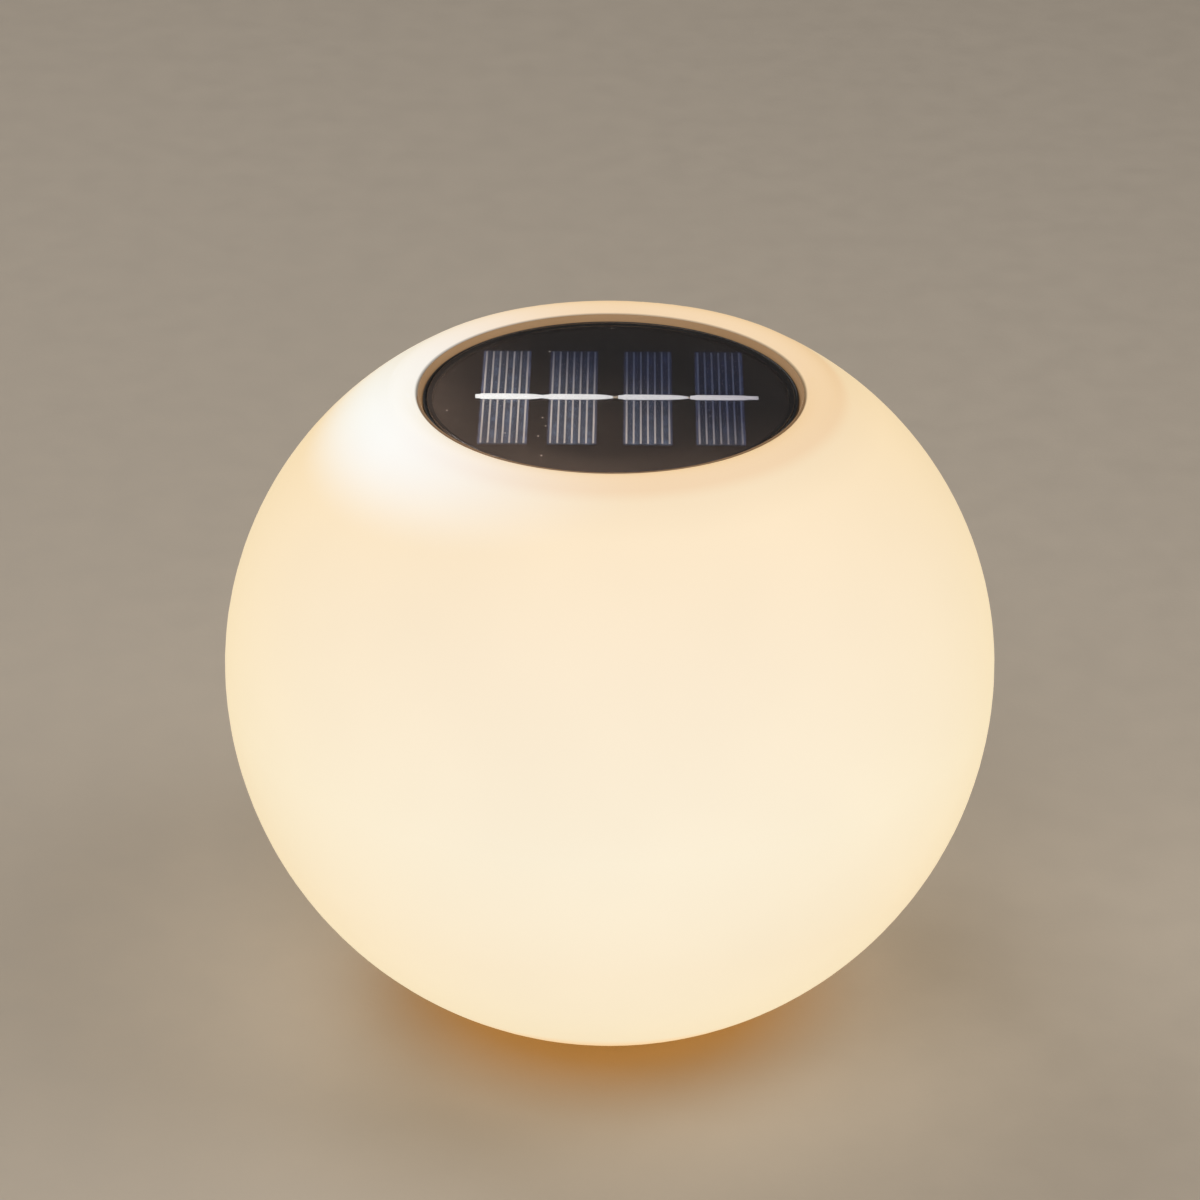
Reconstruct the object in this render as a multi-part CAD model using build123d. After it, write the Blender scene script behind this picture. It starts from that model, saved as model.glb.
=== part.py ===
"""Solar globe path light, built as the separate pieces that it comes apart into.

A white translucent globe stands on a small base. A solar module drops into a collar in the
globe's mouth and locks with a three-lug quarter-turn thread. The module holds the solar panel,
the battery, the driver board and the LEDs that shine down into the globe.

Millimetres. +Z is up, and the origin is the middle of the plane that the feet stand on.
"""

import math
import os

from build123d import *

# Pan-head screws, as shares of the head
HEAD_ROUND_SHARE = 0.45     # rounding, of the height
SLOT_DEPTH_SHARE = 0.45     # cross slot, of the height
SLOT_LENGTH_SHARE = 1.1     # cross slot, of the radius
SLOT_WIDTH_SHARE = 0.3

# Fits
FIT_GAP = 0.2               # between pieces that are bonded or dropped into each other
RUN_GAP = 0.4               # between pieces that turn or slide past each other
PIN_GAP = 0.05              # between a hinge pin and what turns on it
THREAD_GAP = 0.05           # between a self-tapping screw and its pilot hole
SCREW_HOLE_GAP = 0.35       # between a screw and a hole that it passes through

# Globe
GLOBE_RADIUS = 100.0        # at its widest
UPPER_ARC_RADIUS = 91.2     # upper half is a little flatter than a ball
BASE_DEPTH = 92.0           # widest level down to the flat bottom
GLOBE_WALL = 2.4
SHOULDER_RADIUS = 5.5       # rounding between the upper half and the rim
BASE_CORNER_RADIUS = 5.0    # rounding between the lower half and the flat bottom
OPENING_RADIUS = 49.3       # mouth at the top
RIM_FLAT_WIDTH = 4.26       # from the mouth to the middle of the shoulder
RIM_SLOPE = 30.0            # degrees by which the rim falls towards the mouth
RIM_EDGE_RADIUS = 0.5       # rounding on the mouth's edge

# Base
FOOT_PROUD = 1.0            # feet stand this far below the base plate
FOOT_SUNK = 1.0
FOOT_RADIUS = 4.5
FOOT_EDGE_RADIUS = 0.4
FOOT_COUNT = 4
FOOT_MARGIN = 2.5           # feet stand this far inside the plate's edge
BASE_PLATE_RADIUS = 31.0
BASE_PLATE_THICKNESS = 3.2
BASE_FLAT_MARGIN = 7.16     # globe's flat bottom reaches this far past the plate
BASE_EDGE_RADIUS = 1.2
BASE_SEAL_THICKNESS = 0.8
BASE_SEAL_MARGIN = 0.5      # seal stops this far inside the plate's edge
SPIGOT_RADIUS = 13.8        # passes up through the globe's bottom
SPIKE_BORE_RADIUS = 8.0     # socket for a ground spike
SPIKE_BORE_DEPTH = 26.0
SPIKE_SOCKET_WALL = 2.5
CLAMP_MARGIN = 4.2          # clamp ring stops this far inside the flat bottom
CLAMP_RING_THICKNESS = 3.6
BASE_SCREW_RADIUS = 1.4
BASE_SCREW_HEAD_RADIUS = 2.8
BASE_SCREW_HEAD_HEIGHT = 1.6
BASE_SCREW_SUNK = 1.8       # counterbore in the base plate

# Neck collar and its three-start thread
LIP_PROUD = 0.2             # collar lip above the globe's rim
LIP_GAP = 0.3               # between the globe's mouth and the collar lip
LIP_WALL = 0.95
LIP_LAND = 0.25             # flat top of the lip, outside its sloping inner face
LIP_SLOPE_DEPTH = 1.6
LIP_EDGE_RADIUS = 0.12
COLLAR_FLANGE_THICKNESS = 2.0
SEAT_WIDTH = 3.4            # ledge that carries the gasket
COLLAR_WALL = 2.0
COLLAR_MARGIN = 3.3         # collar reaches this far below the locked lugs
THREAD_STARTS = 3
THREAD_LEAD = 32.0          # rise in one full turn
UNLOCK_TURN = 90.0          # degrees from locked to free
RAMP_DEPTH = 2.2
RAMP_THICKNESS = 2.6
RAMP_RELIEF = 12.0          # ramps stop this many degrees short of the unlock turn
RAMP_BELOW_SEAT = 0.5
LUG_ANGLE = 22.0
LUG_THICKNESS = 2.6
LUG_WALL_GAP = 0.5          # lug tip to collar bore
STOP_ANGLE = 2.4            # rib that the lug stops against when locked
STOP_GAP_ANGLE = 0.6
STOP_INSET = 0.3            # rib stands back from the ramp's tip and end by this much
ROOT_OVERLAP = 0.6          # ramps and lugs grow out of their walls by this much

# Solar module
MODULE_GAP = 0.3            # module flange to collar lip
MODULE_DROP = 1.26          # housing rim below the globe's rim
HOUSING_WALL = 2.0
HOUSING_EDGE_RADIUS = 0.35
ROOF_GAP = 2.5              # contact tails to the housing's roof
GASKET_THICKNESS = 1.0
GASKET_MARGIN = 0.4
HOUSING_RIM_WALL = 0.9      # black rim around the window
WINDOW_THICKNESS = 1.2
WINDOW_PROUD = 0.2          # window above the housing rim
WINDOW_EDGE_RADIUS = 0.3
WINDOW_LEDGE = 1.5          # ledge that carries the window
BOARD_THICKNESS = 1.2
CELL_SPACE = 0.7            # room between the panel board and the window
CELL_COUNT = 4
CELL_WIDTH = 12.25
CELL_PITCH = 18.2
CELL_MARGIN = 1.25          # outer cells' corners to the board's edge
CELL_OFFSET_X = 0.25        # cells are laid a little off the middle
CELL_OFFSET_Y = 0.8
FIRST_CELL_STRAY = 0.15     # hand-laid cells are out of step by this much
SECOND_CELL_STRAY = -0.75
CELL_THICKNESS = 0.3
RIBBON_WIDTH = 2.6
RIBBON_TIP_WIDTH = 1.2
RIBBON_THICKNESS = 0.15
RIBBON_LEAD_IN = 1.7        # ribbon starts this far before its cell
RIBBON_TAPER = 2.6

# Module cover, its screws and the LED board
COVER_THICKNESS = 2.2
COVER_RING_WALL = 1.15
COVER_RING_HEIGHT = 2.0
BOSS_RADIUS = 2.8
BOSS_COUNT = 3
BOSS_FIRST_ANGLE = 90.0
COVER_SCREW_RADIUS = 1.25
COVER_SCREW_HEAD_RADIUS = 2.4
COVER_SCREW_HEAD_HEIGHT = 1.7
COVER_SCREW_LENGTH = 11.0
LED_BOARD_RADIUS = 8.5
LED_BOARD_THICKNESS = 1.2
LED_DOOR_GAP = 0.65         # LED board to battery door
LED_COUNT = 4
LED_CIRCLE = 5.2
LED_SIZE = 3.0
LED_HEIGHT = 0.8
LED_WINDOW_RADIUS = 1.2
LED_WINDOW_DEPTH = 0.2
SMALL_SCREW_RADIUS = 0.85
SMALL_SCREW_HEAD_RADIUS = 1.7
SMALL_SCREW_HEAD_HEIGHT = 1.2
LED_SCREW_X = 6.2
SMALL_BOSS_RADIUS = 2.1
LED_BOSS_HEIGHT = 2.5

# Driver board and power switch
DRIVER_LENGTH = 34.0
DRIVER_WIDTH = 17.0
DRIVER_THICKNESS = 1.2
DRIVER_GAP = 1.5            # driver board to battery compartment
STANDOFF_HEIGHT = 5.0
STANDOFF_X = 10.0
STANDOFF_EDGE = 3.0         # from the driver board's edge
CHIP_LENGTH = 4.6
CHIP_WIDTH = 4.0
CHIP_HEIGHT = 1.6
CHIP_X = -6.5
CHOKE_RADIUS = 1.6
CHOKE_LENGTH = 7.0
CHOKE_EDGE_RADIUS = 0.8
CHOKE_LEG_INSET = 0.8       # legs from the choke's ends
CHOKE_LEG_RADIUS = 0.35
CHOKE_STAND = 0.4
CHOKE_X = 6.5
SWITCH_X = 13.0
SWITCH_EDGE = 1.0           # from the driver board's edge
SWITCH_LENGTH = 9.0
SWITCH_WIDTH = 4.2
SWITCH_HEIGHT = 3.8
SWITCH_POCKET_DEPTH = 2.0
SWITCH_TRAVEL = 3.5
STEM_LENGTH = 3.0
STEM_WIDTH = 2.0
STEM_GAP = 0.3
THUMB_LENGTH = 5.0
THUMB_WIDTH = 3.6
THUMB_HEIGHT = 1.5
THUMB_GROOVES = 3
THUMB_GROOVE_DEPTH = 0.36

# Battery and its compartment
BATTERY_RADIUS = 7.25
BATTERY_LENGTH = 50.5       # over the button
BUTTON_RADIUS = 2.75
BUTTON_HEIGHT = 1.2
CAN_EDGE_RADIUS = 0.6
BATTERY_LIFT = 0.5          # above the cover's inner face
BATTERY_SIDE_GAP = 0.5
TROUGH_WALL = 1.4
TROUGH_GAP = 0.4            # compartment corners to the housing's skirt
CONTACT_THICKNESS = 0.4
CONTACT_WIDTH = 11.0
CONTACT_HEIGHT = 12.5
TAIL_WIDTH = 3.0
TAIL_PROUD = 1.6
LEAF_BOW = 2.3              # battery end to the negative plate
LEAF_HALF_SPAN = 4.5
LEAF_WIDTH = 6.0

# Battery door
DOOR_OVERLAP = 1.6
DOOR_THICKNESS = 1.8
DOOR_EDGE_RADIUS = 0.6
PIN_RADIUS = 0.8
KNUCKLE_RADIUS = 1.9
EAR_X = 18.0
EAR_WIDTH = 4.0
TONGUE_WIDTH = 10.0
TONGUE_THICKNESS = 1.2
TONGUE_INSET = 1.05
TONGUE_HEIGHT = 3.9

# Leads
LEAD_RADIUS = 0.55
LEAD_HOLE_GAP = 0.6
LEAD_BEND_SHARE = 0.45      # share of the shorter run that a bend uses
LEAD_DROP = 4.0             # straight run out of a hole or onto a pad
PANEL_LEAD_X = 4.0          # holes in the housing's roof
PANEL_PAD_X = 2.4
LED_LEAD_X = 2.0            # holes in the cover, behind the LED board
LED_LEAD_SET = 6.5          # in front of the LED board's middle
PAD_MARGIN = 2.5            # solder pads from the driver board's edge
BATTERY_LEAD_RUN = 6.0      # straight out of the contact's tail

# Globe outline: each half is one arc, upright at the widest level, that runs into a smaller arc
upper_arc_offset = GLOBE_RADIUS - UPPER_ARC_RADIUS
shoulder_centre = OPENING_RADIUS + RIM_FLAT_WIDTH
shoulder_rise = math.sqrt(
    (UPPER_ARC_RADIUS - SHOULDER_RADIUS) ** 2 - (shoulder_centre - upper_arc_offset) ** 2
)
rim_sin = math.sin(math.radians(RIM_SLOPE))
rim_cos = math.cos(math.radians(RIM_SLOPE))
rim_tan = math.tan(math.radians(RIM_SLOPE))
slope_radius = shoulder_centre - SHOULDER_RADIUS * rim_sin
slope_rise = shoulder_rise + SHOULDER_RADIUS * rim_cos
rim_rise = slope_rise - (slope_radius - OPENING_RADIUS) * rim_tan
base_flat_radius = BASE_PLATE_RADIUS + BASE_FLAT_MARGIN
base_inset = GLOBE_RADIUS - base_flat_radius
corner_drop = BASE_DEPTH - BASE_CORNER_RADIUS
lower_arc_radius = (base_inset ** 2 + corner_drop ** 2 - BASE_CORNER_RADIUS ** 2) / (
    2 * (base_inset - BASE_CORNER_RADIUS)
)
lower_arc_offset = GLOBE_RADIUS - lower_arc_radius

# Radii, from the globe's mouth inward
lip_outer = OPENING_RADIUS - LIP_GAP
lip_inner = lip_outer - LIP_WALL
collar_bore = lip_inner - SEAT_WIDTH
flange_radius = lip_inner - MODULE_GAP
window_radius = flange_radius - HOUSING_RIM_WALL - FIT_GAP
board_radius = window_radius - WINDOW_LEDGE
ramp_inner = collar_bore - RAMP_DEPTH
skirt_outer = ramp_inner - RUN_GAP
skirt_inner = skirt_outer - HOUSING_WALL
cover_ring_outer = skirt_inner - FIT_GAP
cover_ring_inner = cover_ring_outer - COVER_RING_WALL
boss_circle = cover_ring_inner - RUN_GAP - BOSS_RADIUS
base_opening = SPIGOT_RADIUS + FIT_GAP
foot_circle = BASE_PLATE_RADIUS - FOOT_MARGIN - FOOT_RADIUS
clamp_ring_radius = base_flat_radius - CLAMP_MARGIN

# Battery compartment and its door
trough_length = BATTERY_LENGTH + LEAF_BOW + 2 * CONTACT_THICKNESS
trough_width = 2 * (BATTERY_RADIUS + BATTERY_SIDE_GAP)
trough_corner_y = math.sqrt((skirt_inner - TROUGH_GAP) ** 2 - (trough_length / 2 + TROUGH_WALL) ** 2)
battery_y = trough_corner_y - TROUGH_WALL - trough_width / 2
trough_front = battery_y - trough_width / 2 - TROUGH_WALL
door_length = trough_length + 2 * DOOR_OVERLAP
door_width = trough_width + 2 * DOOR_OVERLAP
hinge_y = battery_y + door_width / 2 + KNUCKLE_RADIUS + RUN_GAP

# Boards and switch, in front of the battery
led_y = battery_y - door_width / 2 - LED_DOOR_GAP - LED_BOARD_RADIUS
driver_y = trough_front - DRIVER_GAP - DRIVER_WIDTH / 2
driver_front = driver_y - DRIVER_WIDTH / 2
driver_back = driver_y + DRIVER_WIDTH / 2
standoff_y = driver_back - STANDOFF_EDGE
switch_y = driver_front + SWITCH_EDGE + SWITCH_LENGTH / 2
slider_rest_y = switch_y - SWITCH_TRAVEL / 2
slot_length = STEM_LENGTH + SWITCH_TRAVEL + 2 * STEM_GAP
slot_width = STEM_WIDTH + 2 * STEM_GAP

# Levels, from the floor up to the panel and down again into the module
base_plate_bottom = FOOT_PROUD
base_plate_top = base_plate_bottom + BASE_PLATE_THICKNESS
globe_bottom = base_plate_top + BASE_SEAL_THICKNESS
globe_middle = globe_bottom + BASE_DEPTH
shoulder_level = globe_middle + shoulder_rise
rim = globe_middle + rim_rise
lip_top = rim + LIP_PROUD
housing_top = rim - MODULE_DROP
window_top = housing_top + WINDOW_PROUD
window_seat = window_top - WINDOW_THICKNESS
board_floor = window_seat - CELL_SPACE - BOARD_THICKNESS
board_top = board_floor + BOARD_THICKNESS
cell_top = board_top + CELL_THICKNESS
flange_bottom = board_floor - HOUSING_WALL
seat = flange_bottom - GASKET_THICKNESS
trough_top = flange_bottom - ROOF_GAP - TAIL_PROUD
trough_roof = trough_top - TROUGH_WALL
battery_axis = trough_roof - BATTERY_SIDE_GAP - BATTERY_RADIUS
cover_top = battery_axis - BATTERY_RADIUS - BATTERY_LIFT
cover_bottom = cover_top - COVER_THICKNESS
driver_bottom = cover_top + STANDOFF_HEIGHT
driver_top = driver_bottom + DRIVER_THICKNESS
hinge_level = cover_bottom - KNUCKLE_RADIUS - RUN_GAP

# Thread: the ramps' low ends and the lugs that wait under them
ramp_angle = UNLOCK_TURN - RAMP_RELIEF
ramp_rise = THREAD_LEAD * ramp_angle / 360
ramp_low = seat - RAMP_BELOW_SEAT - RAMP_THICKNESS - ramp_rise
stop_start = math.degrees(STOP_INSET / ramp_inner)
lug_start = STOP_ANGLE + STOP_GAP_ANGLE
lug_low = ramp_low + THREAD_LEAD * lug_start / 360 - RUN_GAP - LUG_THICKNESS
collar_bottom = lug_low - COLLAR_MARGIN

# Solar cells: the row's outer corners stay inside the board
cell_row_half = (CELL_COUNT - 1) / 2 * CELL_PITCH + CELL_WIDTH / 2
cell_length = 2 * math.sqrt((board_radius - CELL_MARGIN) ** 2 - cell_row_half ** 2)


def ring(outer, inner, low, high):
    """Flat-ended tube about the Z axis."""
    tube = Cylinder(outer, high - low) - Cylinder(inner, high - low)
    return Pos(0, 0, (low + high) / 2) * tube


def rod(x, y, radius, low, high):
    """Upright cylinder."""
    return Pos(x, y, (low + high) / 2) * Cylinder(radius, high - low)


def block(x, y, low, size_x, size_y, height):
    """Box centred on x and y, standing on the level low."""
    return Pos(x, y, low + height / 2) * Box(size_x, size_y, height)


def lathe(corners):
    """Solid of revolution about Z from a closed outline of (radius, level) corners."""
    outline = Polyline([(r, 0, z) for r, z in corners], close=True)
    return revolve(make_face(outline), Axis.Z, 360)


def on_circle(count, radius, first_angle=0.0):
    """Evenly spaced (x, y) places on a circle about the Z axis."""
    angles = [math.radians(first_angle + 360 * i / count) for i in range(count)]
    return [(radius * math.cos(a), radius * math.sin(a)) for a in angles]


def arc(centre, radius, start, end):
    """Arc in the XZ plane about centre, angles in degrees from +X towards +Z."""
    angles = [math.radians(a) for a in (start, (start + end) / 2, end)]
    points = [(centre[0] + radius * math.cos(a), 0, centre[1] + radius * math.sin(a)) for a in angles]
    return ThreePointArc(*points)


def edges_at(solid, level, radius, slack=0.01):
    """Round edges of a turned solid at one level and radius."""
    return [
        e
        for e in solid.edges().filter_by(GeomType.CIRCLE)
        if abs(e.arc_center.Z - level) < slack and abs(e.radius - radius) < slack
    ]


def helical_bar(inner, outer, thickness, start_angle, sweep_angle, low):
    """Bar that follows the thread: its underside starts at low and climbs at the thread's lead."""
    middle = (inner + outer) / 2
    helix = Helix(THREAD_LEAD, THREAD_LEAD * sweep_angle / 360, middle)
    section_plane = Plane(origin=helix @ 0, x_dir=(1, 0, 0), z_dir=helix % 0)
    section = section_plane * Rectangle(outer - inner, thickness)
    bar = sweep(section, path=helix, is_frenet=True)
    return Pos(0, 0, low + thickness / 2) * Rot(0, 0, start_angle) * bar


def sector(inner, outer, low, high, start_angle, sweep_angle):
    """Part of a tube between two angles."""
    outline = Polyline([(inner, 0, low), (outer, 0, low), (outer, 0, high), (inner, 0, high)], close=True)
    return Rot(0, 0, start_angle) * revolve(make_face(outline), Axis.Z, sweep_angle)


def screw(x, y, shank_radius, head_radius, head_height, head_top, tip):
    """Pan-head screw driven upward: its head hangs below head_top and its shank ends at tip."""
    head = rod(x, y, head_radius, head_top - head_height, head_top)
    head = fillet(head.edges().group_by(Axis.Z)[0], head_height * HEAD_ROUND_SHARE)
    slot_depth = head_height * SLOT_DEPTH_SHARE
    for turn in (0, 90):
        cross = Box(head_radius * SLOT_LENGTH_SHARE, head_radius * SLOT_WIDTH_SHARE, slot_depth)
        head -= Pos(x, y, head_top - head_height + slot_depth / 2) * Rot(0, 0, turn) * cross
    return head + rod(x, y, shank_radius, head_top, tip)


def globe_skin(inset, last_angle, top_down):
    """Arcs of the globe's side, set in by inset, up to last_angle on the shoulder, as the outline runs."""
    low_angle = math.degrees(math.atan2(-corner_drop, base_flat_radius - lower_arc_offset))
    high_angle = math.degrees(math.atan2(shoulder_rise, shoulder_centre - upper_arc_offset))
    pieces = [
        ((base_flat_radius, globe_bottom + BASE_CORNER_RADIUS), BASE_CORNER_RADIUS, -90, low_angle),
        ((lower_arc_offset, globe_middle), lower_arc_radius, low_angle, 0),
        ((upper_arc_offset, globe_middle), UPPER_ARC_RADIUS, 0, high_angle),
        ((shoulder_centre, shoulder_level), SHOULDER_RADIUS, high_angle, last_angle),
    ]
    if top_down:
        return [arc(c, r - inset, end, start) for c, r, start, end in reversed(pieces)]
    return [arc(c, r - inset, start, end) for c, r, start, end in pieces]


def make_globe_shell():
    """Blow-moulded globe with a sloping rim around its mouth and a flat, drilled bottom."""
    edge_level = rim + RIM_EDGE_RADIUS * (rim_tan - 1 / rim_cos)
    edge_centre = (OPENING_RADIUS + RIM_EDGE_RADIUS, edge_level)
    edge_start = (edge_centre[0] - RIM_EDGE_RADIUS * rim_sin, 0, edge_level + RIM_EDGE_RADIUS * rim_cos)
    inner_rim, inner_bottom = rim - GLOBE_WALL, globe_bottom + GLOBE_WALL
    inner_shoulder = shoulder_level + SHOULDER_RADIUS - GLOBE_WALL
    outline = [
        Line((base_opening, 0, globe_bottom), (base_flat_radius, 0, globe_bottom)),
        *globe_skin(0, 90 + RIM_SLOPE, top_down=False),
        Line((slope_radius, 0, globe_middle + slope_rise), edge_start),
        arc(edge_centre, RIM_EDGE_RADIUS, 90 + RIM_SLOPE, 180),
        Line((OPENING_RADIUS, 0, edge_level), (OPENING_RADIUS, 0, inner_rim)),
        Line((OPENING_RADIUS, 0, inner_rim), (shoulder_centre, 0, inner_rim)),
        Line((shoulder_centre, 0, inner_rim), (shoulder_centre, 0, inner_shoulder)),
        *globe_skin(GLOBE_WALL, 90, top_down=True),
        Line((base_flat_radius, 0, inner_bottom), (base_opening, 0, inner_bottom)),
        Line((base_opening, 0, inner_bottom), (base_opening, 0, globe_bottom)),
    ]
    shell = revolve(make_face(outline), Axis.Z, 360)
    hole = BASE_SCREW_RADIUS + SCREW_HOLE_GAP
    for x, y in on_circle(FOOT_COUNT, foot_circle):
        shell -= rod(x, y, hole, globe_bottom - GLOBE_WALL, inner_bottom + GLOBE_WALL)
    return shell


def make_neck_collar():
    """Ring bonded under the globe's rim: visible lip, gasket seat and thread ramps with stops."""
    under_rim = rim - GLOBE_WALL
    collar_outer = collar_bore + COLLAR_WALL
    collar = lathe([
        (lip_inner, lip_top - LIP_SLOPE_DEPTH),
        (lip_outer - LIP_LAND, lip_top),
        (lip_outer, lip_top),
        (lip_outer, under_rim),
        (shoulder_centre - FIT_GAP, under_rim),
        (shoulder_centre - FIT_GAP, under_rim - COLLAR_FLANGE_THICKNESS),
        (lip_outer, under_rim - COLLAR_FLANGE_THICKNESS),
        (lip_outer, seat - COLLAR_WALL),
        (collar_outer, seat - COLLAR_WALL),
        (collar_outer, collar_bottom),
        (collar_bore, collar_bottom),
        (collar_bore, seat),
        (lip_inner, seat),
    ])
    collar = fillet(edges_at(collar, lip_top, lip_outer), LIP_EDGE_RADIUS)
    root = collar_bore + ROOT_OVERLAP
    for start in range(THREAD_STARTS):
        angle = 360 * start / THREAD_STARTS
        collar += helical_bar(ramp_inner, root, RAMP_THICKNESS, angle, ramp_angle, ramp_low)
        collar += sector(
            ramp_inner + STOP_INSET, root - STOP_INSET, lug_low, ramp_low + RAMP_THICKNESS / 2,
            angle + stop_start, STOP_ANGLE - stop_start,
        )
    return collar


def make_base_plate():
    """Foot plate with a spigot through the globe's bottom and a blind socket for a ground spike."""
    plate = ring(BASE_PLATE_RADIUS, SPIKE_BORE_RADIUS, base_plate_bottom, base_plate_top)
    plate = fillet(edges_at(plate, base_plate_bottom, BASE_PLATE_RADIUS), BASE_EDGE_RADIUS)
    socket_outer = SPIKE_BORE_RADIUS + SPIKE_SOCKET_WALL
    socket_top = base_plate_bottom + SPIKE_BORE_DEPTH
    plate += ring(SPIGOT_RADIUS, SPIKE_BORE_RADIUS, base_plate_top, globe_bottom + GLOBE_WALL)
    plate += ring(socket_outer, SPIKE_BORE_RADIUS, base_plate_top, socket_top)
    plate += rod(0, 0, socket_outer, socket_top, socket_top + SPIKE_SOCKET_WALL)
    for x, y in on_circle(FOOT_COUNT, foot_circle, 180 / FOOT_COUNT):
        plate -= rod(x, y, FOOT_RADIUS + FIT_GAP, base_plate_bottom, base_plate_bottom + FOOT_SUNK)
    for x, y in on_circle(FOOT_COUNT, foot_circle):
        plate -= rod(x, y, BASE_SCREW_RADIUS + SCREW_HOLE_GAP, base_plate_bottom, base_plate_top)
        head_hole = BASE_SCREW_HEAD_RADIUS + SCREW_HOLE_GAP
        plate -= rod(x, y, head_hole, base_plate_bottom, base_plate_bottom + BASE_SCREW_SUNK)
    return plate


def make_base_seal():
    """Flat rubber ring between the base plate and the globe."""
    seal = ring(BASE_PLATE_RADIUS - BASE_SEAL_MARGIN, base_opening, base_plate_top, globe_bottom)
    for x, y in on_circle(FOOT_COUNT, foot_circle):
        seal -= rod(x, y, BASE_SCREW_RADIUS + SCREW_HOLE_GAP, base_plate_top, globe_bottom)
    return seal


def make_clamp_ring():
    """Ring inside the globe that the base screws pull down on."""
    low = globe_bottom + GLOBE_WALL
    clamp = ring(clamp_ring_radius, base_opening, low, low + CLAMP_RING_THICKNESS)
    for x, y in on_circle(FOOT_COUNT, foot_circle):
        clamp -= rod(x, y, BASE_SCREW_RADIUS + THREAD_GAP, low, low + CLAMP_RING_THICKNESS)
    return clamp


def make_base_screws():
    """Screws from under the base plate up into the clamp ring."""
    tip = globe_bottom + GLOBE_WALL + CLAMP_RING_THICKNESS
    head_top = base_plate_bottom + BASE_SCREW_SUNK
    return [
        screw(x, y, BASE_SCREW_RADIUS, BASE_SCREW_HEAD_RADIUS, BASE_SCREW_HEAD_HEIGHT, head_top, tip)
        for x, y in on_circle(FOOT_COUNT, foot_circle)
    ]


def make_foot_pads():
    """Rubber feet pressed into shallow pockets of the base plate."""
    feet = []
    for x, y in on_circle(FOOT_COUNT, foot_circle, 180 / FOOT_COUNT):
        foot = rod(x, y, FOOT_RADIUS, 0, base_plate_bottom + FOOT_SUNK)
        feet.append(fillet(foot.edges().group_by(Axis.Z)[0], FOOT_EDGE_RADIUS))
    return feet


def make_module_gasket():
    """Silicone ring squeezed between the module's flange and the collar's seat."""
    return ring(lip_inner - GASKET_MARGIN, collar_bore + GASKET_MARGIN, seat, flange_bottom)


def make_module_housing():
    """Cup that carries the solar panel on top, with thread lugs outside and screw bosses inside."""
    window_pocket = window_radius + FIT_GAP
    board_pocket = board_radius + FIT_GAP
    housing = lathe([
        (0, board_floor),
        (board_pocket, board_floor),
        (board_pocket, window_seat),
        (window_pocket, window_seat),
        (window_pocket, housing_top),
        (flange_radius, housing_top),
        (flange_radius, flange_bottom),
        (skirt_outer, flange_bottom),
        (skirt_outer, cover_top),
        (skirt_inner, cover_top),
        (skirt_inner, flange_bottom),
        (0, flange_bottom),
    ])
    rim_edges = edges_at(housing, housing_top, flange_radius) + edges_at(housing, housing_top, window_pocket)
    housing = fillet(rim_edges, HOUSING_EDGE_RADIUS)
    pilot_top = cover_bottom + COVER_SCREW_LENGTH + COVER_THICKNESS
    for x, y in on_circle(BOSS_COUNT, boss_circle, BOSS_FIRST_ANGLE):
        housing += rod(x, y, BOSS_RADIUS, cover_top, board_floor - HOUSING_WALL / 2)
        housing -= rod(x, y, COVER_SCREW_RADIUS + THREAD_GAP, cover_top, pilot_top)
    lug_outer = collar_bore - LUG_WALL_GAP
    for start in range(THREAD_STARTS):
        angle = 360 * start / THREAD_STARTS + lug_start
        lug = helical_bar(skirt_outer - ROOT_OVERLAP, lug_outer, LUG_THICKNESS, angle, LUG_ANGLE, lug_low)
        housing += lug
    for points in panel_lead_routes():
        x, y, _ = points[0]
        housing -= rod(x, y, LEAD_RADIUS + LEAD_HOLE_GAP, flange_bottom, board_floor)
    return housing


def make_panel_board():
    """Black board that the solar cells are laid on."""
    return rod(0, 0, board_radius, board_floor, board_top)


def cell_places():
    """X of each solar cell's middle, from left to right."""
    places = [CELL_OFFSET_X + (i - (CELL_COUNT - 1) / 2) * CELL_PITCH for i in range(CELL_COUNT)]
    places[0] += FIRST_CELL_STRAY
    places[1] += SECOND_CELL_STRAY
    return places


def make_solar_cells():
    """Strip cells side by side across the board."""
    return [
        block(x, CELL_OFFSET_Y, board_top, CELL_WIDTH, cell_length, CELL_THICKNESS)
        for x in cell_places()
    ]


def make_tab_ribbons():
    """Tinned ribbons, each soldered across one cell and reaching towards the next."""
    ribbons = []
    wide, tip = RIBBON_WIDTH / 2, RIBBON_TIP_WIDTH / 2
    places = cell_places()
    for middle, following in zip(places, [*places[1:], places[-1] + CELL_PITCH]):
        reach = following - middle - FIT_GAP
        x = middle - CELL_WIDTH / 2 - RIBBON_LEAD_IN
        upper = [(x, tip), (x + RIBBON_TAPER, wide), (x + reach - RIBBON_TAPER, wide), (x + reach, tip)]
        lower = [(px, -py) for px, py in reversed(upper)]
        corners = [(px, CELL_OFFSET_Y + py, cell_top) for px, py in upper + lower]
        outline = Polyline(corners, close=True)
        ribbons.append(extrude(make_face(outline), RIBBON_THICKNESS, dir=(0, 0, 1)))
    return ribbons


def make_panel_window():
    """Clear disc over the cells, a little proud of the housing's rim."""
    window = rod(0, 0, window_radius, window_seat, window_top)
    return fillet(edges_at(window, window_top, window_radius), WINDOW_EDGE_RADIUS)


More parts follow.
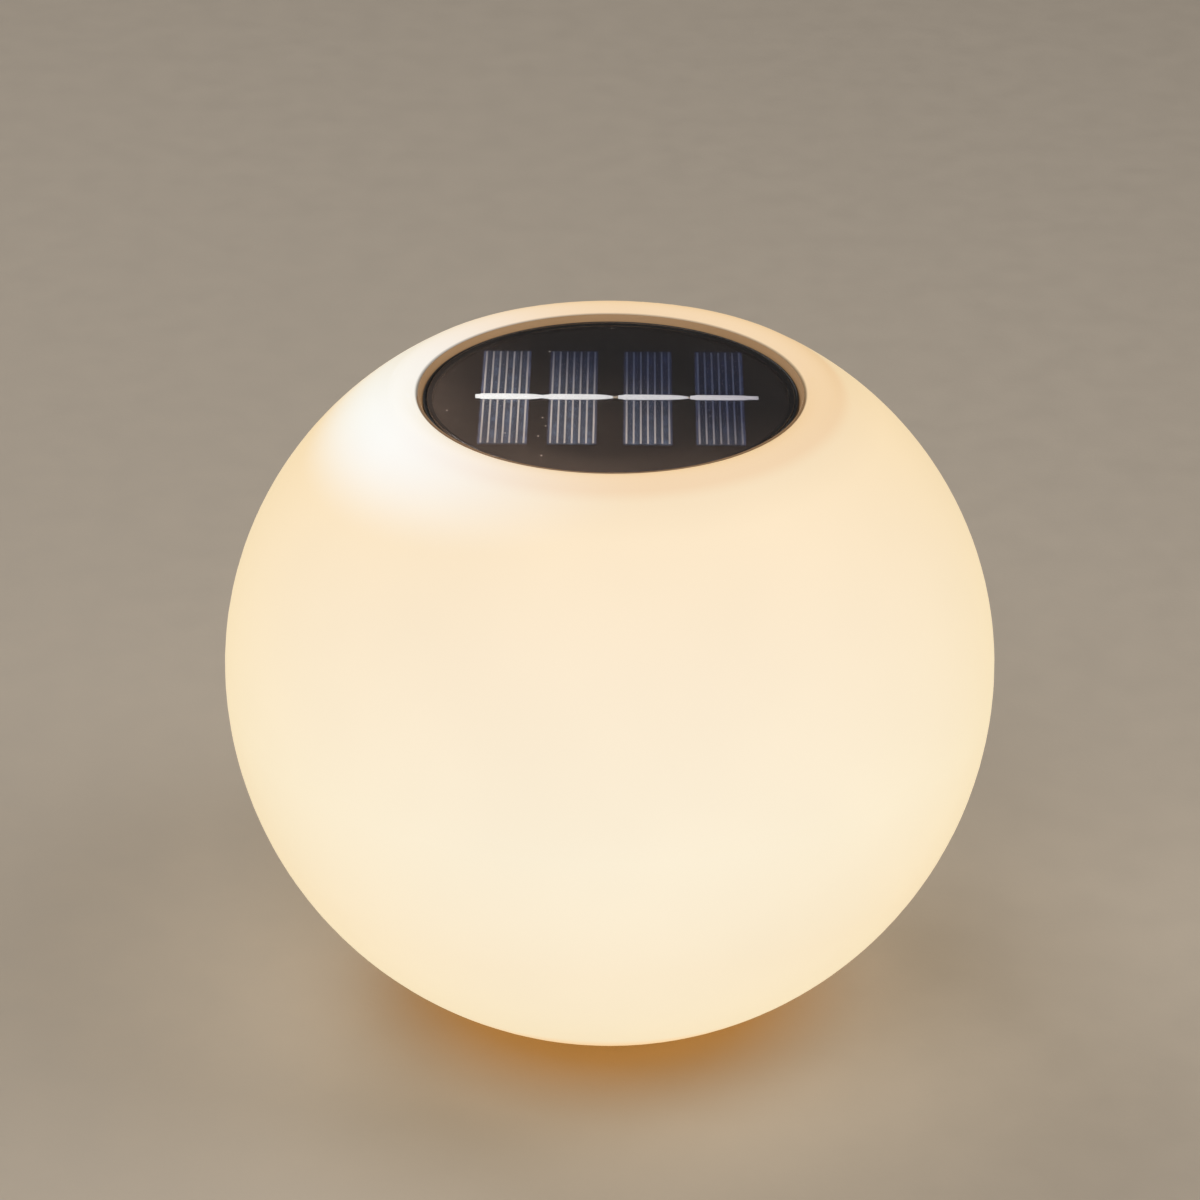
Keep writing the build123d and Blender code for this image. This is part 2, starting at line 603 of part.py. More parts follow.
def make_module_cover():
    """Underside of the module: battery compartment, standoffs, hinge ears and slots."""
    cover = rod(0, 0, skirt_outer, cover_bottom, cover_top)
    cover += ring(cover_ring_outer, cover_ring_inner, cover_top, cover_top + COVER_RING_HEIGHT)
    cover += block(
        0, battery_y, cover_top,
        trough_length + 2 * TROUGH_WALL, trough_width + 2 * TROUGH_WALL, trough_top - cover_top,
    )
    cover -= block(0, battery_y, cover_bottom, trough_length, trough_width, trough_roof - cover_bottom)
    tail_x = trough_length / 2 - CONTACT_THICKNESS / 2
    led_boss_top = cover_top + LED_BOSS_HEIGHT
    pilot = SMALL_SCREW_RADIUS + THREAD_GAP
    for side in (-1, 1):
        cover -= block(
            side * tail_x, battery_y, trough_roof,
            CONTACT_THICKNESS + 2 * FIT_GAP, TAIL_WIDTH + 2 * FIT_GAP, TROUGH_WALL,
        )
        cover += rod(side * STANDOFF_X, standoff_y, SMALL_BOSS_RADIUS, cover_top, driver_bottom)
        cover -= rod(side * STANDOFF_X, standoff_y, pilot, cover_top, driver_bottom)
        cover += rod(side * LED_SCREW_X, led_y, SMALL_BOSS_RADIUS, cover_top, led_boss_top)
        cover -= rod(side * LED_SCREW_X, led_y, pilot, cover_bottom, led_boss_top)
        cover += make_hinge_ear(side * EAR_X)
    for x, y in on_circle(BOSS_COUNT, boss_circle, BOSS_FIRST_ANGLE):
        cover -= rod(x, y, COVER_SCREW_RADIUS + SCREW_HOLE_GAP, cover_bottom, cover_top)
    for x, y in led_lead_places():
        cover -= rod(x, y, LEAD_RADIUS + LEAD_HOLE_GAP, cover_bottom, cover_top)
    return cover - block(SWITCH_X, switch_y, cover_bottom, slot_width, slot_length, COVER_THICKNESS)


def make_hinge_ear(x):
    """Ear under the cover that holds one end of the door's pin."""
    axis_place = Pos(x, hinge_y, hinge_level) * Rot(0, 90, 0)
    ear = block(x, hinge_y, hinge_level, EAR_WIDTH, 2 * KNUCKLE_RADIUS, cover_bottom - hinge_level)
    ear += axis_place * Cylinder(KNUCKLE_RADIUS, EAR_WIDTH)
    return ear - axis_place * Cylinder(PIN_RADIUS + PIN_GAP, EAR_WIDTH)


def make_cover_screws():
    """Screws that hold the cover to the housing's bosses."""
    tip = cover_bottom + COVER_SCREW_LENGTH
    return [
        screw(x, y, COVER_SCREW_RADIUS, COVER_SCREW_HEAD_RADIUS, COVER_SCREW_HEAD_HEIGHT, cover_bottom, tip)
        for x, y in on_circle(BOSS_COUNT, boss_circle, BOSS_FIRST_ANGLE)
    ]


def make_led_board():
    """Round white board under the cover, facing down into the globe."""
    low = cover_bottom - LED_BOARD_THICKNESS
    board = rod(0, led_y, LED_BOARD_RADIUS, low, cover_bottom)
    for side in (-1, 1):
        board -= rod(side * LED_SCREW_X, led_y, SMALL_SCREW_RADIUS + SCREW_HOLE_GAP, low, cover_bottom)
    return board


def make_leds():
    """Surface-mount LEDs with a round window on their lower face."""
    leds = []
    low = cover_bottom - LED_BOARD_THICKNESS - LED_HEIGHT
    for x, y in on_circle(LED_COUNT, LED_CIRCLE, 180 / LED_COUNT):
        led = block(x, led_y + y, low, LED_SIZE, LED_SIZE, LED_HEIGHT)
        led -= rod(x, led_y + y, LED_WINDOW_RADIUS, low, low + LED_WINDOW_DEPTH)
        leds.append(led)
    return leds


def make_led_screws():
    """Small screws through the LED board."""
    head_top = cover_bottom - LED_BOARD_THICKNESS
    tip = cover_top + LED_BOSS_HEIGHT
    return [
        screw(x, led_y, SMALL_SCREW_RADIUS, SMALL_SCREW_HEAD_RADIUS, SMALL_SCREW_HEAD_HEIGHT, head_top, tip)
        for x in (-LED_SCREW_X, LED_SCREW_X)
    ]


def make_driver_board():
    """Circuit board on two standoffs."""
    board = block(0, driver_y, driver_bottom, DRIVER_LENGTH, DRIVER_WIDTH, DRIVER_THICKNESS)
    hole = SMALL_SCREW_RADIUS + SCREW_HOLE_GAP
    for side in (-1, 1):
        board -= rod(side * STANDOFF_X, standoff_y, hole, driver_bottom, driver_top)
    return board


def make_driver_screws():
    """Small screws down through the driver board into its standoffs."""
    screws = []
    for side in (-1, 1):
        upright = screw(
            0, 0, SMALL_SCREW_RADIUS, SMALL_SCREW_HEAD_RADIUS, SMALL_SCREW_HEAD_HEIGHT,
            0, DRIVER_THICKNESS + STANDOFF_HEIGHT - FIT_GAP,
        )
        screws.append(Pos(side * STANDOFF_X, standoff_y, driver_top) * Rot(180, 0, 0) * upright)
    return screws


def make_driver_chip():
    """Boost converter that runs the LEDs from one cell."""
    return block(CHIP_X, driver_y, driver_top, CHIP_LENGTH, CHIP_WIDTH, CHIP_HEIGHT)


def make_choke():
    """Axial choke lying on the board on its two legs."""
    level = driver_top + CHOKE_STAND + CHOKE_RADIUS
    body = Pos(CHOKE_X, driver_y, level) * Rot(90, 0, 0) * Cylinder(CHOKE_RADIUS, CHOKE_LENGTH)
    body = fillet(body.edges().filter_by(GeomType.CIRCLE), CHOKE_EDGE_RADIUS)
    leg_y = CHOKE_LENGTH / 2 - CHOKE_LEG_INSET
    for side in (-1, 1):
        body += rod(CHOKE_X, driver_y + side * leg_y, CHOKE_LEG_RADIUS, driver_top, level)
    return body


def make_switch_body():
    """Slide switch under the driver board, with a pocket for its slider."""
    low = driver_bottom - SWITCH_HEIGHT
    body = block(SWITCH_X, switch_y, low, SWITCH_WIDTH, SWITCH_LENGTH, SWITCH_HEIGHT)
    return body - block(SWITCH_X, switch_y, low, slot_width, slot_length, SWITCH_POCKET_DEPTH)


def make_switch_slider():
    """Slider that reaches through the cover to a ribbed thumb piece."""
    stem_top = driver_bottom - SWITCH_HEIGHT + SWITCH_POCKET_DEPTH - STEM_GAP
    thumb_top = cover_bottom - STEM_GAP
    thumb_low = thumb_top - THUMB_HEIGHT
    slider = block(SWITCH_X, slider_rest_y, thumb_top, STEM_WIDTH, STEM_LENGTH, stem_top - thumb_top)
    slider += block(SWITCH_X, slider_rest_y, thumb_low, THUMB_WIDTH, THUMB_LENGTH, THUMB_HEIGHT)
    groove = THUMB_LENGTH / (2 * THUMB_GROOVES + 1)
    for number in range(THUMB_GROOVES):
        y = slider_rest_y + (number - (THUMB_GROOVES - 1) / 2) * 2 * groove
        slider -= block(SWITCH_X, y, thumb_low, THUMB_WIDTH, groove, THUMB_GROOVE_DEPTH)
    return slider


def make_battery():
    """Rechargeable AA cell lying along X, button towards +X."""
    start = -trough_length / 2 + CONTACT_THICKNESS + LEAF_BOW
    can_length = BATTERY_LENGTH - BUTTON_HEIGHT
    along_x = Rot(0, 90, 0)
    can_place = Pos(start + can_length / 2, battery_y, battery_axis) * along_x
    can = can_place * Cylinder(BATTERY_RADIUS, can_length)
    can = fillet(can.edges().filter_by(GeomType.CIRCLE), CAN_EDGE_RADIUS)
    button_place = Pos(start + can_length + BUTTON_HEIGHT / 2, battery_y, battery_axis) * along_x
    return can + button_place * Cylinder(BUTTON_RADIUS, BUTTON_HEIGHT)


def make_contact_plate(side):
    """Contact plate against one end of the compartment, with a tail up through its roof."""
    x = side * (trough_length - CONTACT_THICKNESS) / 2
    low = battery_axis - CONTACT_HEIGHT / 2
    plate = block(x, battery_y, low, CONTACT_THICKNESS, CONTACT_WIDTH, CONTACT_HEIGHT)
    tail_height = trough_top + TAIL_PROUD - battery_axis
    return plate + block(x, battery_y, battery_axis, CONTACT_THICKNESS, TAIL_WIDTH, tail_height)


def make_negative_contact():
    """Contact plate with a bowed leaf that presses on the battery's flat end."""
    root = -trough_length / 2 + CONTACT_THICKNESS
    crest = root + LEAF_BOW
    inner_span = LEAF_HALF_SPAN - CONTACT_THICKNESS
    points = [
        (root, LEAF_HALF_SPAN), (crest, 0), (root, -LEAF_HALF_SPAN),
        (root, -inner_span), (crest - CONTACT_THICKNESS, 0), (root, inner_span),
    ]
    outer = [(x, battery_y, battery_axis + z) for x, z in points]
    outline = [
        ThreePointArc(*outer[0:3]),
        Line(outer[2], outer[3]),
        ThreePointArc(*outer[3:6]),
        Line(outer[5], outer[0]),
    ]
    leaf = extrude(make_face(outline), LEAF_WIDTH / 2, dir=(0, 1, 0), both=True)
    return make_contact_plate(-1) + leaf


def make_battery_door():
    """Door under the battery: plate, hinge knuckle and a tongue that grips the compartment."""
    top = cover_bottom - FIT_GAP
    low = top - DOOR_THICKNESS
    plate = block(0, battery_y, low, door_length, door_width, DOOR_THICKNESS)
    plate = fillet(plate.edges().filter_by(Axis.Z), DOOR_EDGE_RADIUS)
    knuckle_length = 2 * EAR_X - EAR_WIDTH - 2 * RUN_GAP
    arm_depth = hinge_y - battery_y
    plate += block(0, battery_y + arm_depth / 2, low, knuckle_length, arm_depth, DOOR_THICKNESS)
    axis_place = Pos(0, hinge_y, hinge_level) * Rot(0, 90, 0)
    door = plate + axis_place * Cylinder(KNUCKLE_RADIUS, knuckle_length)
    door -= axis_place * Cylinder(PIN_RADIUS + PIN_GAP, knuckle_length)
    tongue_y = battery_y - trough_width / 2 + TONGUE_INSET + TONGUE_THICKNESS / 2
    return door + block(0, tongue_y, top, TONGUE_WIDTH, TONGUE_THICKNESS, TONGUE_HEIGHT)


def make_hinge_pin():
    """Steel pin through the ears and the door's knuckle."""
    length = 2 * EAR_X + EAR_WIDTH
    return Pos(0, hinge_y, hinge_level) * Rot(0, 90, 0) * Cylinder(PIN_RADIUS, length)


def panel_lead_routes():
    """Two leads from the panel board down to the driver board."""
    hole_y = driver_y + PAD_MARGIN
    pad_y = driver_front + PAD_MARGIN
    return [
        [
            (side * PANEL_LEAD_X, hole_y, board_floor),
            (side * PANEL_LEAD_X, hole_y, flange_bottom - LEAD_DROP),
            (side * PANEL_PAD_X, pad_y, driver_top + LEAD_DROP),
            (side * PANEL_PAD_X, pad_y, driver_top),
        ]
        for side in (-1, 1)
    ]


def led_lead_places():
    """Where the two LED leads stand between the LED board and the driver board."""
    return [(side * LED_LEAD_X, led_y - LED_LEAD_SET) for side in (-1, 1)]


def make_led_leads():
    """Two straight leads from the LED board up through the cover to the driver board."""
    return [rod(x, y, LEAD_RADIUS, cover_bottom, driver_bottom) for x, y in led_lead_places()]


def battery_lead_routes():
    """Two leads from the contact tails, over the compartment's edge and down to the driver board."""
    level = trough_top + TAIL_PROUD / 2
    start = trough_length / 2 - CONTACT_THICKNESS
    pad_x = DRIVER_LENGTH / 2 - PAD_MARGIN
    pad_y = driver_back - PAD_MARGIN
    return [
        [
            (side * start, battery_y, level),
            (side * (start - BATTERY_LEAD_RUN), battery_y, level),
            (side * pad_x, pad_y, level),
            (side * pad_x, pad_y, driver_top),
        ]
        for side in (-1, 1)
    ]


def make_lead(points):
    """Round wire along points, each bend as large as its two runs allow."""
    vectors = [Vector(*p) for p in points]
    runs = [b - a for a, b in zip(vectors, vectors[1:])]
    radii = []
    for before, after in zip(runs, runs[1:]):
        half_turn = math.radians(before.get_angle(after)) / 2
        radii.append(LEAD_BEND_SHARE * min(before.length, after.length) / math.tan(half_turn))
    path = FilletPolyline(*points, radius=radii)
    section = Plane(origin=path @ 0, z_dir=path % 0) * Circle(LEAD_RADIUS)
    return sweep(section, path=path)


def save(name, *solids):
    """Writes one node, which may be a group of identical solids."""
    shape = solids[0] if len(solids) == 1 else Compound(children=list(solids))
    export_step(shape, os.path.join("parts", name + ".step"))


def save_each(name, solids):
    """Writes identical pieces as numbered nodes."""
    for number, solid in enumerate(solids, 1):
        save(f"{name}_{number}", solid)


def main():
    """Builds every piece in place and writes it."""
    os.makedirs("parts", exist_ok=True)
    save("globe_shell", make_globe_shell())
    save("neck_collar", make_neck_collar())
    save("base_plate", make_base_plate())
    save("base_seal", make_base_seal())
    save("base_clamp_ring", make_clamp_ring())
    save("base_screws", *make_base_screws())
    save_each("foot_pad", make_foot_pads())
    save("module_gasket", make_module_gasket())
    save("module_housing", make_module_housing())
    save("panel_board", make_panel_board())
    save_each("solar_cell", make_solar_cells())
    save_each("tab_ribbon", make_tab_ribbons())
    save("panel_window", make_panel_window())
    save("module_cover", make_module_cover())
    save("cover_screws", *make_cover_screws())
    save("led_board", make_led_board())
    save_each("led", make_leds())
    save("led_board_screws", *make_led_screws())
    save("driver_board", make_driver_board())
    save("driver_board_screws", *make_driver_screws())
    save("driver_chip", make_driver_chip())
    save("choke", make_choke())
    save("switch_body", make_switch_body())
    save("switch_slider", make_switch_slider())
    save("battery", make_battery())
    save("battery_contact_positive", make_contact_plate(1))
    save("battery_contact_negative", make_negative_contact())
    save("battery_door", make_battery_door())
    save("door_hinge_pin", make_hinge_pin())
    save("panel_leads", *[make_lead(p) for p in panel_lead_routes()])
    save("led_leads", *make_led_leads())
    save("battery_leads", *[make_lead(p) for p in battery_lead_routes()])


main()
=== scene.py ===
"""Looks of the solar globe light: its finishes, the panel's printed and soldered detail, and the studio.

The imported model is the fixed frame. Its nodes keep their shapes and get finishes here. The printed
fingers and soldered ribbons of the solar panel are modelled here, on the frame's own sizes.
Lengths are metres, as in the frame, and sizes written in millimetres are multiplied by MM.
"""

from __future__ import annotations

import logging
import math
from dataclasses import dataclass
from enum import Enum
from typing import Any, Iterable, Sequence

import bmesh
import bpy
from mathutils import Matrix, Vector


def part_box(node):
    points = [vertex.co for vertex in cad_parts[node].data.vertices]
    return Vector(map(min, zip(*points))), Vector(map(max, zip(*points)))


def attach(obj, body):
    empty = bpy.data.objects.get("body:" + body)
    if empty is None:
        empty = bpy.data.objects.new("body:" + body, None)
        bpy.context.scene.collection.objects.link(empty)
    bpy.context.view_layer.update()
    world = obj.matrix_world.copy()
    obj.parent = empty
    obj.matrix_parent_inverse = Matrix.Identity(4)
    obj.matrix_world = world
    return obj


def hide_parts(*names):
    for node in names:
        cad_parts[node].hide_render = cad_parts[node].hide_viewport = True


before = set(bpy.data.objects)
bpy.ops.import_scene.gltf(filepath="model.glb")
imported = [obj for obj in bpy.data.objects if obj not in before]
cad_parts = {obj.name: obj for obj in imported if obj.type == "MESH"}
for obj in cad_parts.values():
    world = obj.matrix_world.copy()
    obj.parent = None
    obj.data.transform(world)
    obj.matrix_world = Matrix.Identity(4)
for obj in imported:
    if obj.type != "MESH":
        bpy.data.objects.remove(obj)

LOG = logging.getLogger("solar_globe_light")
MM = 0.001
IMAGE_SIDE = 1200           # pixels along each side of the picture
SENSOR_WIDTH = 36.0         # millimetres

NOISE_LOW, NOISE_HIGH = 0.3, 0.7                    # values that a noise texture mostly keeps between
MIX_SHARE, MIX_A, MIX_B, MIX_OUT = 0, 6, 7, 2       # sockets of a Mix node that mixes colours
WAVE_TURN = 20              # radians that a wave texture turns through over one unit
BRICK_ROW = 0.25            # height of a brick texture's row, in its own units

Tree = bpy.types.NodeTree
Socket = bpy.types.NodeSocket
Colour = tuple[float, float, float, float]
Section = tuple[float, float, float]    # of a ribbon: where it lies, share of the width, share of the height
WHITE: Colour = (1.0, 1.0, 1.0, 1.0)


class Body(Enum):
    """Bodies of the frame that pieces ride on."""

    SOLAR_MODULE = "solar_module"


class Run(Enum):
    """Which way a printed or soldered bar runs across the panel."""

    ALONG_X = "along_x"
    ALONG_Y = "along_y"


def linear(hex_colour: str) -> Colour:
    """Turns an sRGB hex colour into linear RGBA.

    Args:
        hex_colour: A colour such as "#E9DFCF".

    Returns:
        The linear red, green and blue, and an alpha of one.
    """
    channels = [int(hex_colour[i:i + 2], 16) / 255 for i in (1, 3, 5)]
    values = [c / 12.92 if c <= 0.04045 else ((c + 0.055) / 1.055) ** 2.4 for c in channels]
    return (values[0], values[1], values[2], 1.0)


def per_mm(size: float) -> float:
    """Texture scale at which one cell of a pattern measures size millimetres."""
    return 1 / (size * MM)


def add_node(
    tree: Tree,
    kind: str,
    inputs: dict[str | int, Any] | None = None,
    stops: Sequence[tuple[float, Colour]] = (),
    **settings: Any,
) -> bpy.types.Node:
    """Adds a node, sets it up and links it.

    Args:
        tree: The node tree that takes the node.
        kind: Blender's name of the node's class, after ShaderNode.
        inputs: Values or output sockets for the node's inputs, by name or number.
        stops: Places and colours of a colour ramp.
        settings: The node's own properties.

    Returns:
        The new node.
    """
    node = tree.nodes.new(f"ShaderNode{kind}")
    for name, value in settings.items():
        setattr(node, name, value)
    if stops:
        ramp = node.color_ramp.elements
        for place, _ in stops[2:]:
            ramp.new(place)
        for element, (place, colour) in zip(ramp, stops):
            element.position = place
            element.color = colour
    for key, value in (inputs or {}).items():
        if isinstance(value, Socket):
            tree.links.new(value, node.inputs[key])
        else:
            node.inputs[key].default_value = value
    return node


def around(usual: float, drift: float) -> tuple[float, float]:
    """Limits of a value that drifts by a share either way."""
    return usual * (1 - drift), usual * (1 + drift)


def patchy(
    tree: Tree, place: Socket, size: float, limits: tuple[float, float], detail: float = 2.0
) -> Socket:
    """Adds a value that changes in soft patches.

    Args:
        tree: The node tree that takes the nodes.
        place: The socket that gives a point's place.
        size: Size of the patches, millimetres.
        limits: The values that it changes between.
        detail: Finer patches within the patches.

    Returns:
        The socket with the value.
    """
    noise = add_node(tree, "TexNoise", {"Vector": place, "Scale": per_mm(size), "Detail": detail})
    return add_node(tree, "MapRange", {
        "Value": noise.outputs["Fac"], "From Min": NOISE_LOW, "From Max": NOISE_HIGH,
        "To Min": limits[0], "To Max": limits[1],
    }).outputs["Result"]


def relief(
    tree: Tree, place: Socket, size: float, depth: float, detail: float = 2.0, strength: float = 1.0
) -> Socket:
    """Adds a fine uneven relief.

    Args:
        tree: The node tree that takes the nodes.
        place: The socket that gives a point's place.
        size: Size of the relief's grain, millimetres.
        depth: Its depth, millimetres.
        detail: Finer grain within the grain.
        strength: Share of the relief that shows.

    Returns:
        The socket with the surface's normal.
    """
    noise = add_node(tree, "TexNoise", {"Vector": place, "Scale": per_mm(size), "Detail": detail})
    return add_node(tree, "Bump", {
        "Height": noise.outputs["Fac"], "Distance": depth * MM, "Strength": strength,
    }).outputs["Normal"]


def radius_from_axis(tree: Tree, place: Socket) -> Socket:
    """Adds the distance of a point from the globe's upright axis.

    Args:
        tree: The node tree that takes the nodes.
        place: The socket that gives the point's place.

    Returns:
        The socket with the distance.
    """
    level = add_node(tree, "VectorMath", {0: place, 1: (1.0, 1.0, 0.0)}, operation="MULTIPLY")
    length = add_node(tree, "VectorMath", {0: level.outputs["Vector"]}, operation="LENGTH")
    return length.outputs["Value"]


@dataclass(frozen=True)
class Finish:
    """A surface finish that makes one material."""

    name: str

    def build(self) -> bpy.types.Material:
        """Makes the material.

        Returns:
            A new material with this finish's nodes.
        """
        material = bpy.data.materials.new(self.name)
        material.use_nodes = True
        tree = material.node_tree
        tree.nodes.clear()
        place = add_node(tree, "TexCoord").outputs["Object"]
        add_node(tree, "OutputMaterial", {"Surface": self.shade(tree, place)})
        return material

    def shade(self, tree: Tree, place: Socket) -> Socket:
        """Adds this finish's nodes around the socket of a point's place, and returns its shader."""
        raise NotImplementedError


@dataclass(frozen=True)
class Moulding(Finish):
    """Injection-moulded plastic or rubber: an even colour under the grain of its mould."""

    colour: str
    roughness: float
    grain: float = 0.6              # mould grain, millimetres
    grain_depth: float = 0.02       # millimetres
    drift_size: float = 14.0        # patches of colour and gloss, millimetres
    unevenness: float = 0.05        # share by which the colour drifts
    gloss_drift: float = 0.12       # share by which the roughness drifts
    ior: float = 1.52
    # glow: a painted glow, light drawn as emission on a part that is no lamp
    glow: str | None = None
    glow_strength: float = 0.0

    def shade(self, tree: Tree, place: Socket) -> Socket:
        """Adds drifting colour, patchy gloss and mould grain, and returns the shader."""
        shade = patchy(tree, place, self.drift_size, around(1.0, self.unevenness), detail=3.0)
        gloss = patchy(tree, place, self.drift_size, around(self.roughness, self.gloss_drift), detail=3.0)
        colour = add_node(tree, "VectorMath", {0: self.tint(tree, place), "Scale": shade}, operation="SCALE")
        lit = {}
        if self.glow:
            lit = {"Emission Color": linear(self.glow), "Emission Strength": self.glow_strength}
        return add_node(tree, "BsdfPrincipled", {
            "Base Color": colour.outputs["Vector"], "Roughness": gloss, "IOR": self.ior,
            "Normal": relief(tree, place, self.grain, self.grain_depth), **lit,
        }).outputs["BSDF"]

    def tint(self, tree: Tree, place: Socket) -> Any:
        """Colour of the moulding before it drifts."""
        return linear(self.colour)[:3]


@dataclass(frozen=True)
class ShadedJointMoulding(Moulding):
    """Moulded ring with a painted shade, a dark line in the joint round its outer edge."""

    joint_shade: str = "#000000"
    unshaded_radius: float = 0.0       # ring is unshaded inside this radius, metres
    joint_shade_width: float = 0.2 * MM   # over which the painted shade sets in

    def tint(self, tree: Tree, place: Socket) -> Socket:
        """Adds the painted shade line and returns the ring's colour."""
        share = add_node(tree, "MapRange", {
            "Value": radius_from_axis(tree, place),
            "From Min": self.unshaded_radius, "From Max": self.unshaded_radius + self.joint_shade_width,
        })
        return add_node(tree, "Mix", {
            MIX_SHARE: share.outputs["Result"], MIX_A: linear(self.colour), MIX_B: linear(self.joint_shade),
        }, data_type="RGBA").outputs[MIX_OUT]


@dataclass(frozen=True)
class PaintedHighlight:
    """Painted highlight: a soft, whiter patch drawn into the wall's glow, left of the mouth."""

    colour: str
    middle: tuple[float, float, float]      # metres
    spread: tuple[float, float, float]      # from the middle to where the patch ends
    core: float                             # share of the spread that is evenly bright

    def mix(self, tree: Tree, place: Socket, glow: Socket) -> Socket:
        """Adds the painted highlight to the wall's glow.

        Args:
            tree: The node tree that takes the nodes.
            place: The socket that gives a point's place.
            glow: The socket with the glow of the wall around the patch.

        Returns:
            The socket with the mixed colour.
        """
        offset = add_node(tree, "VectorMath", {0: place, 1: self.middle}, operation="SUBTRACT")
        shares = add_node(tree, "VectorMath", {
            0: offset.outputs["Vector"], 1: self.spread,
        }, operation="DIVIDE")
        away = add_node(tree, "VectorMath", {0: shares.outputs["Vector"]}, operation="LENGTH")
        share = add_node(tree, "MapRange", {
            "Value": away.outputs["Value"], "From Min": self.core, "From Max": 1.0,
            "To Min": 1.0, "To Max": 0.0,
        }, interpolation_type="SMOOTHSTEP")
        return add_node(tree, "Mix", {
            MIX_SHARE: share.outputs["Result"], MIX_A: glow, MIX_B: linear(self.colour),
        }, data_type="RGBA").outputs[MIX_OUT]


@dataclass(frozen=True)
class LitPolyethylene(Finish):
    """Blow-moulded translucent polyethylene with the LEDs' light in its wall."""

    colour: str
    roughness: float
    low: float                      # bottom of the globe, metres
    high: float                     # rim of the globe, metres
    mouth: float                    # radius of the mouth, metres
    glow_strength: float
    glow: tuple[tuple[float, str], ...]     # share of the height, and the wall's glow there
    # patch: the painted highlight in the wall's glow
    patch: PaintedHighlight
    shine: float = 0.06             # an eighth of a polished skin's, because the mould was blasted
    ior: float = 1.51
    skin: str = "#FFFAED"           # tints light that crosses the skin, and more where it leaves at a slant
    skin_index: float = 1.1         # the lower the skin's index, the deeper the tint at the globe's edge
    wall_patch: float = 45.0        # thicker and thinner places of the wall, millimetres
    wall_drift: float = 0.012       # share by which they change its glow
    edge_glow: float = 0.25         # share of the glow left at the mouth's edge, which the collar shades
    edge_width: float = 0.5 * MM    # of that shade
    edge_from: float = 0.5          # share of the height below which that shade doesn't reach
    gloss_patch: float = 9.0        # millimetres
    gloss_drift: float = 0.07       # share by which the roughness drifts
    peel: float = 2.2               # orange peel, millimetres
    peel_depth: float = 0.02        # millimetres
    peel_strength: float = 0.6

    def shade(self, tree: Tree, place: Socket) -> Socket:
        """Adds the wall's glow with its painted highlight, its drift, orange peel and a tinted skin, and
        returns the shader.
        """
        height = add_node(tree, "SeparateXYZ", {"Vector": place}).outputs["Z"]
        share = add_node(tree, "MapRange", {"Value": height, "From Min": self.low, "From Max": self.high})
        glow = add_node(
            tree, "ValToRGB", {"Fac": share.outputs["Result"]},
            stops=[(at, linear(colour)) for at, colour in self.glow],
        )
        edge = add_node(tree, "MapRange", {
            "Value": radius_from_axis(tree, place),
            "From Min": self.mouth, "From Max": self.mouth + self.edge_width,
            "To Min": self.edge_glow, "To Max": 1.0,
        })
        below = add_node(tree, "Math", {
            0: share.outputs["Result"], 1: self.edge_from,
        }, operation="LESS_THAN")
        shaded = add_node(tree, "Math", {
            0: edge.outputs["Result"], 1: below.outputs["Value"],
        }, operation="MAXIMUM")
        strength = add_node(tree, "Math", {
            0: patchy(tree, place, self.wall_patch, around(1.0, self.wall_drift)), 1: shaded.outputs["Value"],
        }, operation="MULTIPLY")
        # the painted highlight is mixed into the wall's glow here
        lit = add_node(tree, "VectorMath", {
            0: self.patch.mix(tree, place, glow.outputs["Color"]), "Scale": strength.outputs["Value"],
        }, operation="SCALE")
        gloss = patchy(tree, place, self.gloss_patch, around(self.roughness, self.gloss_drift), detail=3.0)
        peel = relief(tree, place, self.peel, self.peel_depth, detail=1.0, strength=self.peel_strength)
        return add_node(tree, "BsdfPrincipled", {
            "Base Color": linear(self.colour), "Roughness": gloss, "IOR": self.ior,
            "Specular IOR Level": self.shine, "Normal": peel,
            "Coat Weight": 1.0, "Coat Roughness": self.roughness,
            "Coat IOR": self.skin_index, "Coat Tint": linear(self.skin),
            "Emission Color": lit.outputs["Vector"], "Emission Strength": self.glow_strength,
        }).outputs["BSDF"]


@dataclass(frozen=True)
class PlatedSteel(Finish):
    """Pressed or turned steel with a thin bright plating that dulls in patches."""

    colour: str
    roughness: float
    patch: float = 2.5              # of tarnish, millimetres
    tarnish_start: float = 0.35     # values of the noise between which tarnish sets in
    tarnish_full: float = 0.7
    tarnish_shade: float = 0.8      # share of the colour left under full tarnish
    gloss_bright: float = 0.8       # roughness of bright and of tarnished places against the usual
    gloss_dull: float = 1.3
    mark: float = 0.3               # handling marks, millimetres
    mark_depth: float = 0.006       # millimetres

    def shade(self, tree: Tree, place: Socket) -> Socket:
        """Adds patchy tarnish and fine handling marks, and returns the shader."""
        tarnish = add_node(tree, "TexNoise", {"Vector": place, "Scale": per_mm(self.patch), "Detail": 4.0})
        shade = add_node(tree, "MapRange", {
            "Value": tarnish.outputs["Fac"], "From Min": self.tarnish_start, "From Max": self.tarnish_full,
            "To Min": 1.0, "To Max": self.tarnish_shade,
        })
        colour = add_node(tree, "VectorMath", {
            0: linear(self.colour)[:3], "Scale": shade.outputs["Result"],
        }, operation="SCALE")
        limits = (self.roughness * self.gloss_bright, self.roughness * self.gloss_dull)
        return add_node(tree, "BsdfPrincipled", {
            "Base Color": colour.outputs["Vector"], "Metallic": 1.0,
            "Roughness": patchy(tree, place, self.patch, limits, detail=4.0),
            "Normal": relief(tree, place, self.mark, self.mark_depth),
        }).outputs["BSDF"]


